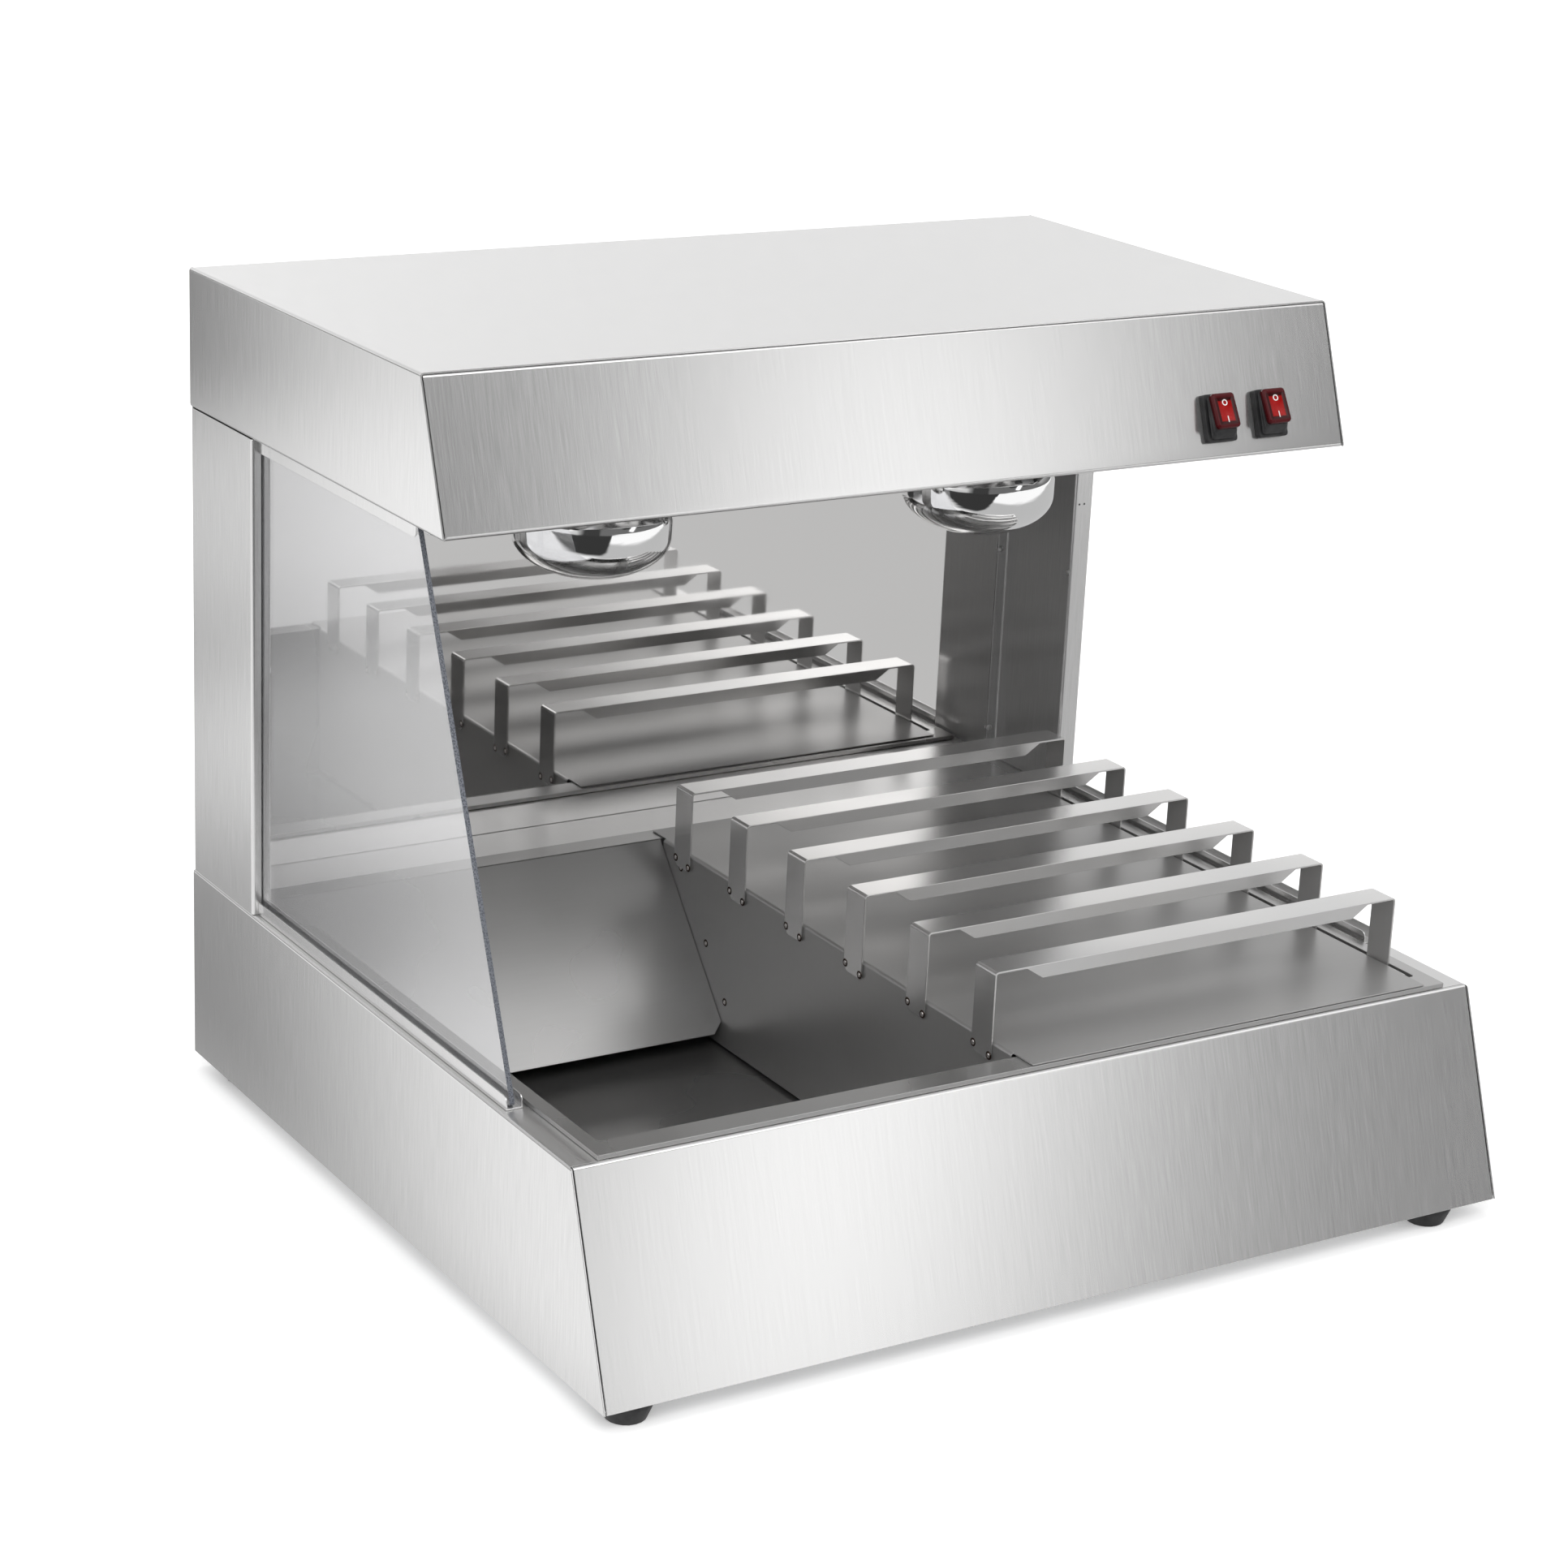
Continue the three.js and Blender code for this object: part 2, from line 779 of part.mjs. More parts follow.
function canopyFrontPanel(switchHoles) {
  const top = height - sheet - seat;
  const topY = slopeY(canopySlope, top);
  const bottomY = slopeY(canopySlope, canopyBottom);
  const section = foldedSheet([
    [topY + canopyTopReturn, top],
    [topY, top],
    [bottomY, canopyBottom],
    [bottomY + canopyFrontLip, canopyBottom],
  ]);
  const low = canopyBottom + foldReach;
  const high = top - foldReach;
  const endReturn = [
    [slopeY(canopySlope, low), low],
    [slopeY(canopySlope, low, canopyEndReturn), low],
    [slopeY(canopySlope, high, canopyEndReturn), high],
    [slopeY(canopySlope, high), high],
  ];
  const returns = [-1, 1].map((side) => alongX(endReturn, ...span(side, inner - sheet, inner)));
  return cut(join(alongX(section, -inner, inner), ...returns), ...switchHoles);
}

function lampTray() {
  const reach = half - sheet - seat;
  const section = foldedSheet([
    [-reach, trayHeight + trayLip],
    [-reach, trayHeight],
    [reach, trayHeight],
    [reach, trayHeight + trayLip],
  ]);
  const trayFront = rear - canopyTopDepth + trayFrontGap;
  const hole = (x, y) =>
    cylinderZ(leadHoleRadius, [trayHeight - overrun, trayHeight + overrun], holderSteps, x, y);
  const lampHoles = [-1, 1].map((side) => hole(side * lampOffset, rear - lampInset));
  const dropHoles = switchOffsets.map((x) => hole(x, leadDropY(trayHeight)));
  const supplyHole = hole(glandOffset, supplyRiseY());
  return cut(alongY(section, trayFront, backFace - seat), ...lampHoles, ...dropHoles, supplyHole);
}

// Tracks: channels that hold the side glass above and below
function track(side, upsideDown) {
  const outerX = half - trackInset;
  const innerX = outerX - trackWidth;
  const back = rear - columnDepth - seat;
  const ahead = rear - (upsideDown ? trackTopReach : glassBottomReach);
  const web = upsideDown ? canopyBottom - seat : baseHeight + seat;
  const grow = upsideDown ? -1 : 1;
  const leg = rounded(
    [
      [back, web],
      [back, web + grow * trackHeight],
      [ahead, web + grow * trackHeight],
      [ahead, web],
    ],
    [0, 0, trackCornerRadius, 0],
  );
  const heights = [web, web + grow * trackSheet].sort((low, high) => low - high);
  return join(
    block(span(side, innerX, outerX), [ahead, back], heights),
    alongX(leg, ...span(side, innerX, innerX + trackSheet)),
    alongX(leg, ...span(side, outerX - trackSheet, outerX)),
  );
}

function sideGlass() {
  const bottom = baseHeight + trackSheet + 2 * seat;
  const top = canopyBottom - trackSheet - 2 * seat;
  const back = rear - columnDepth + glassRearReach;
  const outline = rounded(
    [
      [back, bottom],
      [rear - glassBottomReach, bottom],
      [rear - glassTopReach, top],
      [back, top],
    ],
    [0, glassCornerRadius, glassCornerRadius, 0],
  );
  const left = -half + glassInset;
  return alongX(outline, left, left + glassThickness);
}

function addUprights() {
  for (const side of [-1, 1]) {
    add("column_" + sideName(side), column(side), brushedSteel);
    add("track_bottom_" + sideName(side), track(side, false), brushedSteel);
    add("track_top_" + sideName(side), track(side, true), brushedSteel);
  }
  add("side_glass", sideGlass(), glass);
  add("mirror_panel", mirrorPanel(), mirrorSteel);
  add("rear_cover", rearCover(), brushedSteel);
}

// Reflector lamps: a domed face, a wide shoulder, a flank that draws in to the neck
function lampOutline(wall, end) {
  const outline = [];
  const shoulderZ = lampBottom + lampFaceRise;
  for (let step = 0; step <= faceSteps; step += 1) {
    const angle = (Math.PI / 2) * (step / faceSteps);
    outline.push([
      (lampRadius - wall) * Math.sin(angle),
      shoulderZ - (lampFaceRise - wall) * Math.cos(angle),
    ]);
  }
  const flank = new THREE.CubicBezierCurve(
    new THREE.Vector2(lampRadius, shoulderZ + lampShoulderRise),
    new THREE.Vector2(lampRadius * flankFullnessShare, shoulderZ + lampShoulderRise + lampRadius / 2),
    new THREE.Vector2(lampNeckRadius, lampBottom + lampNeckRise * neckFlareShare),
    new THREE.Vector2(lampNeckRadius, lampBottom + lampNeckRise),
  );
  outline.push(...flank.getPoints(flankSteps).map((point) => [point.x - wall, point.y]));
  outline.push([capRadius - wall, lampBottom + lampConeRise], [capRadius - wall, end], [0, end]);
  return outline;
}

function lampBulb(x, y) {
  const neckEnd = lampBottom + lampLength - capLength - seat;
  const outer = turnedZ(lampOutline(0, neckEnd), roundSteps, x, y);
  const hollow = turnedZ(lampOutline(lampWall, neckEnd + overrun), roundSteps, x, y);
  return cut(outer, hollow);
}

function lampCap(x, y) {
  const top = lampBottom + lampLength;
  const bottom = top - capLength;
  const threadTop = top - capContactHeight;
  const pitch = (threadTop - bottom) / capThreads;
  const thread = [];
  for (let turn = 0; turn < capThreads; turn += 1) {
    thread.push([capRadius - capThreadDepth, bottom + turn * pitch]);
    thread.push([capRadius, bottom + (turn + 1 / 2) * pitch]);
  }
  const profile = [
    [0, bottom],
    ...thread,
    [capRadius - capThreadDepth, threadTop],
    [capContactRadius, threadTop],
    [capContactRadius, top],
    [0, top],
  ];
  return turnedZ(profile, holderSteps, x, y);
}

function lampHolder(x, y) {
  const top = trayHeight - seat;
  const bottom = top - holderHeight;
  const boreRadius = capRadius + holderClearance;
  const boreTop = lampBottom + lampLength + seat;
  const profile = [
    [0, boreTop],
    [boreRadius, boreTop],
    [boreRadius, bottom],
    [holderRadius, bottom],
    [holderRadius, bottom + holderSkirt],
    [holderBodyRadius, bottom + holderSkirt],
    [holderBodyRadius, top],
    [0, top],
  ];
  return turnedZ(profile, holderSteps, x, y);
}

function addLamps() {
  const y = rear - lampInset;
  for (const side of [-1, 1]) {
    const x = side * lampOffset;
    add("lamp_bulb_" + sideName(side), lampBulb(x, y), lampMirror);
    add("lamp_cap_" + sideName(side), lampCap(x, y), brass);
    add("lamp_holder_" + sideName(side), lampHolder(x, y), ceramic);
  }
}

// Switches: built flat with +Z out of the panel and +Y up its slope, then leaned with it
function switchPlace(x) {
  const slopeLength = Math.hypot(canopySlope.run, canopySlope.rise);
  const place = new THREE.Group();
  const z = height - (switchDrop * canopySlope.rise) / slopeLength;
  place.position.set(x, slopeY(canopySlope, z), z);
  place.rotation.x = Math.atan2(canopySlope.rise, canopySlope.run);
  place.updateMatrix();
  return place;
}

const tilt = THREE.MathUtils.degToRad(rockerTilt);
const collarTop = bootRise + bootCollarHeight;
const pocketWidth = rockerCoreWidth + 2 * seat;
const rockerSwing =
  (rockerCoreLength / 2) * Math.cos(tilt) +
  (collarTop + rockerPivotDepth) * Math.sin(tilt) +
  rockerSwingGap;
const bodyHalfX = switchBodyWidth / 2;
const bodyHalfY = switchBodyLength / 2;

function switchHole(place) {
  const reachX = bodyHalfX + seat;
  const reachY = bodyHalfY + seat;
  const hole = extrusion(rectangle([-reachX, reachX], [-reachY, reachY]), -overrun, overrun);
  return solid(hole.applyMatrix4(place.matrix));
}

function switchBoot() {
  const outer = rounded(
    rectangle([-bootWidth / 2, bootWidth / 2], [-bootHeight / 2, bootHeight / 2]),
    bootCornerRadius,
  );
  const collarX = bootWidth / 2 - bootCollarInset;
  const collarY = bootHeight / 2 - bootCollarInset;
  const collar = block([-collarX, collarX], [-collarY, collarY], [bootRise - seat, collarTop]);
  const opening = rectangle([-pocketWidth / 2, pocketWidth / 2], [-rockerSwing, rockerSwing]);
  return cut(join(alongZ(outer, seat, bootRise), collar), alongZ(opening, -overrun, collarTop + overrun));
}

function switchBody() {
  const deep = -switchBodyDepth;
  const shell = block([-bodyHalfX, bodyHalfX], [-bodyHalfY, bodyHalfY], [deep, 0]);
  const pocket = block(
    [-pocketWidth / 2, pocketWidth / 2],
    [-rockerSwing, rockerSwing],
    [-switchPocketDepth, overrun],
  );
  const blades = [-1, 1].map((end) =>
    block(
      [-bladeWidth / 2, bladeWidth / 2],
      [(end * bladePitch - bladeThickness) / 2, (end * bladePitch + bladeThickness) / 2],
      [deep - bladeLength, deep + seat],
    ),
  );
  return join(cut(shell, pocket), ...blades);
}

// The rocker about its pivot, level: a cap with a hollowed face on a core with a round hub
function switchRocker() {
  const reach = rockerLength / 2;
  const end = rockerPivotDepth + rockerRise + rockerHollow;
  const face = new THREE.QuadraticBezierCurve(
    new THREE.Vector2(reach, end),
    new THREE.Vector2(0, end - 2 * rockerHollow),
    new THREE.Vector2(-reach, end),
  );
  const skirtZ = end - rockerSkirt;
  const cap = [...face.getPoints(faceSteps).map(({ x, y }) => [x, y]), [-reach, skirtZ], [reach, skirtZ]];
  const core = [[rockerCoreLength / 2, skirtZ + seat], [-rockerCoreLength / 2, skirtZ + seat]];
  core.push([-rockerCoreLength / 2, 0]);
  for (let step = 0; step <= hubSteps; step += 1) {
    const angle = Math.PI + (Math.PI * step) / hubSteps;
    core.push([rockerHubRadius * Math.cos(angle), rockerHubRadius * Math.sin(angle)]);
  }
  core.push([rockerCoreLength / 2, 0]);
  return join(
    alongX(cap, -rockerWidth / 2, rockerWidth / 2),
    alongX(core, -rockerCoreWidth / 2, rockerCoreWidth / 2),
  );
}

function switchCover(place) {
  const middle = (switchOffsets[0] + switchOffsets[1]) / 2;
  const reachX = (switchOffsets[1] - switchOffsets[0]) / 2 + bodyHalfX + switchCoverMargin;
  const reachY = bodyHalfY + switchCoverLift;
  const open = -sheet - seat;
  const deep = open - switchCoverDepth;
  const outer = block([-reachX, reachX], [-reachY, reachY], [deep, open]);
  const hollow = block(
    [-reachX + sheet, reachX - sheet],
    [-reachY + sheet, reachY - sheet],
    [deep + sheet, open + overrun],
  );
  const slots = switchOffsets.map((x) =>
    block(
      [x - middle - leadHoleRadius, x - middle + leadHoleRadius],
      [reachY - sheet - overrun, reachY + overrun],
      [leadDropDepth() - leadHoleRadius, leadDropDepth() + leadHoleRadius],
    ),
  );
  place.add(meshOf("switch_cover", cut(outer, hollow, ...slots), zincSteel));
  return place;
}

// How far behind the panel face the leads run down to the switches
function leadDropDepth() {
  return -switchBodyDepth - bladeLength - seat - leadRadius;
}

const leadDropY = (z) => slopeY(canopySlope, z, -leadDropDepth());

function addCanopy() {
  const places = switchOffsets.map(switchPlace);
  add("canopy_shell", canopyShell(), brushedSteel);
  add("canopy_front_panel", canopyFrontPanel(places.map(switchHole)), brushedSteel);
  add("lamp_tray", lampTray(), satinSteel);
  places.forEach((place, i) => {
    const side = i === 0 ? "left" : "right";
    const rocker = meshOf("rocker_" + side, switchRocker(), redPlastic);
    rocker.position.z = -rockerPivotDepth;
    rocker.rotation.x = -tilt;
    place.add(meshOf("switch_boot_" + side, switchBoot(), rubber));
    place.add(meshOf("switch_body_" + side, switchBody(), blackPlastic));
    place.add(rocker);
    warmer.add(place);
  });
  warmer.add(switchCover(switchPlace((switchOffsets[0] + switchOffsets[1]) / 2)));
}

// Cable gland in the rear cover, turned about the way the cable goes
function cableGland() {
  const inside = -sheet - seat;
  const profile = [
    [glandBoreRadius, inside - glandNutThickness],
    [glandNutRadius, inside - glandNutThickness],
    [glandNutRadius, inside],
    [glandShankRadius, inside],
    [glandShankRadius, seat],
    [glandFlangeRadius, seat],
    [glandFlangeRadius, glandFlangeThickness],
    [glandDomeRadius, glandFlangeThickness],
    [glandDomeRadius, glandReach / 2],
    [glandMouthRadius, glandReach],
    [glandBoreRadius, glandReach],
    [glandBoreRadius, inside - glandNutThickness],
  ];
  const geometry = new THREE.LatheGeometry(
    profile.map(([r, y]) => new THREE.Vector2(r, y)),
    holderSteps,
  );
  geometry.translate(glandOffset, rear, glandHeight);
  return solid(geometry);
}

function terminalBlock() {
  const floor = trayHeight + sheet + seat;
  const back = rear - blockInset;
  const body = block(
    [glandOffset - blockWidth / 2, glandOffset + blockWidth / 2],
    [back - blockDepth, back],
    [floor, floor + blockHeight - blockPegRise],
  );
  const pegs = [-1, 1].map((end) =>
    cylinderZ(
      blockPegRadius,
      [floor, floor + blockHeight],
      holderSteps,
      glandOffset + (end * blockWidth) / 4,
      back - blockDepth / 2,
    ),
  );
  return join(body, ...pegs);
}

// A route that is sampled at its own points: the ends and the steps round each bend
class Route extends THREE.Curve {
  constructor(stops) {
    super();
    this.stops = stops;
  }

  getPoint(t) {
    const place = t * (this.stops.length - 1);
    const before = Math.min(Math.floor(place), this.stops.length - 2);
    return this.stops[before].clone().lerp(this.stops[before + 1], place - before);
  }

  getPointAt(t) {
    return this.getPoint(t);
  }

  getTangentAt(t) {
    const nearest = Math.round(t * (this.stops.length - 1));
    const after = this.stops[Math.min(nearest + 1, this.stops.length - 1)];
    const before = this.stops[Math.max(nearest - 1, 0)];
    return after.clone().sub(before).normalize();
  }
}

function lead(points, radius) {
  const corners = points.map((point) => new THREE.Vector3(...point));
  const stops = [corners[0]];
  for (let i = 1; i < corners.length - 1; i += 1) {
    const into = corners[i - 1].clone().sub(corners[i]);
    const out = corners[i + 1].clone().sub(corners[i]);
    const bend = Math.min(leadBend, into.length() / 2, out.length() / 2);
    const from = corners[i].clone().addScaledVector(into.normalize(), bend);
    const to = corners[i].clone().addScaledVector(out.normalize(), bend);
    const curve = new THREE.QuadraticBezierCurve3(from, corners[i], to);
    const bendStops = curve.getPoints(leadBendSteps);
    const joined = bendStops[0].distanceTo(stops[stops.length - 1]) < seat;
    stops.push(...bendStops.slice(joined ? 1 : 0));
  }
  stops.push(corners[corners.length - 1]);
  const ring = [];
  for (let side = 0; side < leadSides; side += 1) {
    const angle = (2 * Math.PI * side) / leadSides;
    ring.push(new THREE.Vector2(radius * Math.cos(angle), radius * Math.sin(angle)));
  }
  const tube = { steps: stops.length - 1, extrudePath: new Route(stops), bevelEnabled: false };
  return solid(new THREE.ExtrudeGeometry(new THREE.Shape(ring), tube));
}

function supplyRiseY() {
  const nutEnd = rear - sheet - seat - glandNutThickness;
  const mirrorBack = rear - columnFlangeInset + sheet + seat + mirrorSheet;
  return (nutEnd + mirrorBack) / 2;
}

function addWiring() {
  add("cable_gland", cableGland(), blackPlastic);
  add("terminal_block", terminalBlock(), whitePlastic);
  const trayTop = trayHeight + sheet;
  const runZ = trayTop + leadRise + leadRadius;
  const blockTop = runZ;
  const blockRear = rear - blockInset;
  const riseY = supplyRiseY();
  const supply = [
    [glandOffset, riseY, glandHeight + glandBoreRadius],
    [glandOffset, riseY, blockTop],
    [glandOffset, blockRear + seat, blockTop],
  ];
  add("supply_lead", lead(supply, supplyRadius), leadSleeve);
  const lampY = rear - lampInset;
  [-1, 1].forEach((side, i) => {
    const dropX = switchOffsets[i];
    const place = switchPlace(dropX);
    const laneY = lampY - (switchOffsets.length - i) * holderRadius;
    const end = new THREE.Vector3(0, bladePitch / 2, leadDropDepth()).applyMatrix4(place.matrix);
    const route = [
      [side * lampOffset, lampY, trayHeight],
      [side * lampOffset, lampY, runZ],
      [side * lampOffset, laneY, runZ],
      [dropX, laneY, runZ],
      [dropX, leadDropY(runZ), runZ],
      end.toArray(),
    ];
    add("lamp_lead_" + sideName(side), lead(route, leadRadius), leadSleeve);
  });
}

addBase();
addPan();
addUprights();
addCanopy();
addLamps();
addWiring();

export default warmer;
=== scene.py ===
"""The chip warmer's looks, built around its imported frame.

Metres, in the frame of the CAD model: +X to the right, +Y to the back, +Z up, the bench at z 0.
Lengths that are written in millimetres are turned into metres with MM.
"""

import json
import math

import bmesh
import bpy
from mathutils import Matrix, Vector


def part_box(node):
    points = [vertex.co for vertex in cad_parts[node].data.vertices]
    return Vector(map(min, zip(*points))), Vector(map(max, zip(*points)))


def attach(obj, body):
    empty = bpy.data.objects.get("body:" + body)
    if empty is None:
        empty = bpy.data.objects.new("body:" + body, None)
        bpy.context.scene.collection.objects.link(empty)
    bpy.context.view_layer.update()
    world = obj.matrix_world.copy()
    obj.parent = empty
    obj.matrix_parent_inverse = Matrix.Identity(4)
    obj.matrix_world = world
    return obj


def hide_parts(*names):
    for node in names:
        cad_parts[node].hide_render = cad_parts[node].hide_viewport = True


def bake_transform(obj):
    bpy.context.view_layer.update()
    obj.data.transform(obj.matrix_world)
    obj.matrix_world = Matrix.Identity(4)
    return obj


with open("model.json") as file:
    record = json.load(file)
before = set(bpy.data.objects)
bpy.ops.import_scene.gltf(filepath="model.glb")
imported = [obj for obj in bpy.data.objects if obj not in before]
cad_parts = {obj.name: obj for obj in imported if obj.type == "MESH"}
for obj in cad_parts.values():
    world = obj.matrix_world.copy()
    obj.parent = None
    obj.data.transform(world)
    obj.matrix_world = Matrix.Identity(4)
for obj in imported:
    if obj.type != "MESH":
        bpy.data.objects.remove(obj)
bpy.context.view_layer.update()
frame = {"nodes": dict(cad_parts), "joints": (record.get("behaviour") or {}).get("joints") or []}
nodes = frame["nodes"]
joints = {joint["name"]: joint for joint in frame["joints"]}
MM = 0.001
SIDES = ("left", "right")
ENDS = ("front", "rear")
TO_FRONT = (0, -1, 0)
TO_BACK = (0, 1, 0)
DOWNWARDS = (0, 0, -1)

# The camera, fitted to the photograph's corners: metres, degrees, and millimetres of lens
CAMERA_PLACE = (-1.503115, -2.311112, 1.219775)
CAMERA_AZIMUTH = -32.124
CAMERA_ELEVATION = 18.438
CAMERA_ROLL = 2.645
CAMERA_LENS = 84.61
CAMERA_SENSOR = 36

# The lean of the canopy's front: the height it falls and the depth it gains, in millimetres
CANOPY_RISE = 111
CANOPY_RUN = 40

# The switches, in millimetres from the rocker's pivot, and the tilt of their caps in degrees
ROCKER_TILT = 10
CAP_HALF_X = 11
CAP_HALF_Y = 14.2
CAP_SHIFT = 1.9
CAP_TOP = 17.4
CAP_CORNER = 3.2
CAP_LEAST_CORNER = 1.2
OFF_MARK_Y = 8.0
OFF_MARK_HEIGHT = 17.0
OFF_MARK_RADIUS = 2.1
ON_MARK_Y = -5.4
ON_MARK_HALF_LENGTH = 2.6
ON_MARK_HEIGHTS = (16.85, 17.1)
ON_MARK_CORNER = 0.35
MARK_HALF_WIDTH = 0.42
FOLDS_FOOT = 9.2
FOLDS_TOP = 13.3
FOLDS_CORNER = 3.0
FOLDS_WALL = 0.5
# The cap's rings: how far inside its outline, and how far from its top
CAP_RINGS = ((0, -4.5), (0, -1.5), (0.3, -0.7), (0.9, -0.15), (1.6, 0), (3.8, -0.12), (4.4, -0.5))
# The rubber folds' rings: half widths, and the share of the way up from frame to cap
FOLD_RINGS = (
    (12.2, 17.0, 0.0),
    (10.9, 15.6, 0.25),
    (11.9, 15.6, 0.42),
    (10.4, 14.3, 0.62),
    (11.2, 14.3, 0.8),
    (CAP_HALF_X - 0.6, CAP_HALF_Y - 0.6, 1.0),
)

# Turned profiles: radius, and height from the surface they sit on, in millimetres
RIVET = ((2.9, -0.2), (2.9, 0.1), (2.6, 0.55), (1.9, 0.95), (1.0, 1.2), (0.2, 1.28))
BEAD = ((2.0, -0.2), (1.9, 0.3), (1.4, 0.6), (0.9, 0.68), (0.4, 0.7), (0.1, 0.7))
HALO = ((3.4, -0.1), (3.3, 0.12), (2.7, 0.22), (1.7, 0.2), (1.7, -0.1))
# The holes: flat black discs a hair proud of the sheet, painted shade in place of their depth
HOLE_SHADE = ((0.95, -0.2), (0.9, 0.06), (0.4, 0.07), (0.1, 0.07))
SCREW = ((3.6, -0.1), (3.6, 0.5), (3.1, 1.3), (2.0, 1.8), (0.9, 1.9), (0.8, 1.0), (0.2, 1.0))

# Places of small parts, in millimetres; those of the columns are for the right one or for both
FLANGE_RIVET_X = 373.5
FLANGE_RIVET_Y = 328
FLANGE_RIVET_HEIGHTS = (375.6, 205.9, 520)
FOLD_RIVET = (381, 234, 377)
COLUMN_HOLES = ((385.5, 230, 439), (390.8, 230, 439))
RAIL_COUNT = 6
RAIL_FIRST_Y = -254
RAIL_PITCH = 89.6
# A rail's legs: their outer face, and the side it looks to
RAIL_LEGS = ((-20, -1), (362.3, 1))
# A leg's welds: the distance behind the rail's front, and the height
LEG_WELDS = ((2.6, 170.5), (23.4, 173.5))
# The chute's welds on the rack's side plate
SIDE_WELDS = ((-18.2, 211.2, 165.8), (-18.2, 165.4, 113.6), (-18.2, 131.3, 72.9))
COVER_BACK = 350
COVER_SCREWS_X = (-385, -130, 130, 385)
COVER_SCREWS_HEIGHTS = (190, 640)
COVER_MIDDLE_HEIGHT = 415
FOOT_SCREW_HEIGHT = 9

# What metal reflects of the world: soft boxes, with a negative strength where they darken
# Azimuth from the front towards the right, elevation, roll, half width, half height, edge, strength
SOFT_BOXES = (
    (32.2, 13.5, -26, 1, 9, 4.6, 1.72),
    (8, 39, 0, 20, 5, 7, 1.8),
    (23.5, 21, 0, 4, 5, 5, -0.45),
    (45, 20, 0, 4, 5, 5, -0.45),
    (155, 10, 0, 42, 11, 6, 0.95),
    (-95, 30, 0, 22, 24, 8, 0.62),
    (-125, 42, 0, 62, 26, 12, 0.42),
    (100, 36, 0, 26, 24, 12, 0.34),
    (48, 58, 0, 30, 10, 6, 0.7),
    (-20, 62, 0, 60, 14, 12, 0.7),
    (-33, 14, 0, 12, 26, 6, -0.16),
    (-64, 12, 0, 13, 10, 15, 0.5),
)
WORLD_BETWEEN_BOXES = 0.16
WORLD_DARKEST = 0.05
WORLD_FOR_DULL = (0.62, 0.62, 0.62, 1)
WHITE = (1, 1, 1, 1)

# The lamps: name, place, size in metres, power
LAMPS = (
    ("key", (-1.6, -2.2, 2.6), 1.8, 34),
    ("fill", (2.4, -1.6, 1.9), 1.6, 18),
    ("top", (0.2, 0.6, 3.2), 2.2, 22),
    ("rear", (-0.6, 2.8, 1.8), 1.8, 14),
)
LAMP_AIM = (0, 0, 0.3)
FLOOR_REACH = 16.0
# Two glows on the floor that metal reflects: place, reach and strength
FLOOR_GLOWS = ((-1.2, 2.1, 0.8, 0.25), (-0.95, 1.05, 0.5, 0.4))


def add(name, data):
    """Puts a new object into the scene."""
    made = bpy.data.objects.new(name, data)
    bpy.context.scene.collection.objects.link(made)
    return made


def modify(owner, name, kind, **settings):
    made = owner.modifiers.new(name, kind)
    for key, value in settings.items():
        setattr(made, key, value)


def axes(azimuth, elevation, roll):
    """Across, upwards and outwards for something that stands at these degrees and looks back."""
    a, e, r = (math.radians(angle) for angle in (azimuth, elevation, roll))
    out = Vector((math.sin(a) * math.cos(e), -math.cos(a) * math.cos(e), math.sin(e)))
    right = Vector((math.cos(a), math.sin(a), 0))
    up = out.cross(right)
    across = math.cos(r) * right + math.sin(r) * up
    upwards = -math.sin(r) * right + math.cos(r) * up
    return across, upwards, out


class Shader:
    """A node tree with short calls for what the materials here need."""

    def __init__(self, owner):
        owner.use_nodes = True
        self.tree = owner.node_tree
        self.tree.nodes.clear()

    def feed(self, socket, value):
        if isinstance(value, bpy.types.NodeSocket):
            self.tree.links.new(value, socket)
        else:
            socket.default_value = value

    def node(self, kind, inputs=None, **settings):
        made = self.tree.nodes.new(kind)
        for key, value in settings.items():
            setattr(made, key, value)
        for key, value in (inputs or {}).items():
            self.feed(made.inputs[key], value)
        return made

    def math(self, operation, *values):
        return self.node("ShaderNodeMath", dict(enumerate(values)), operation=operation).outputs[0]

    def total(self, *parts):
        """The sum of values, each times its share."""
        products = [self.math("MULTIPLY", value, share) for value, share in parts]
        whole = products[0]
        for product in products[1:]:
            whole = self.math("ADD", whole, product)
        return whole

    def along(self, operation, vector, *others):
        """A number from a vector, such as its length."""
        inputs = dict(enumerate((vector, *others)))
        return self.node("ShaderNodeVectorMath", inputs, operation=operation).outputs["Value"]

    def spread(self, value, low, high, to_low=0.0, to_high=1.0, smooth=False):
        """Takes the range from low to high to another one, and holds the value outside it."""
        made = self.node(
            "ShaderNodeMapRange",
            {"Value": value, "From Min": low, "From Max": high, "To Min": to_low, "To Max": to_high},
            interpolation_type="SMOOTHSTEP" if smooth else "LINEAR",
        )
        return made.outputs["Result"]

    def mix(self, share, first, second):
        made = self.node("ShaderNodeMix", {0: share, 6: first, 7: second}, data_type="RGBA")
        return made.outputs[2]

    def separate(self, vector):
        return self.node("ShaderNodeSeparateXYZ", {0: vector}).outputs


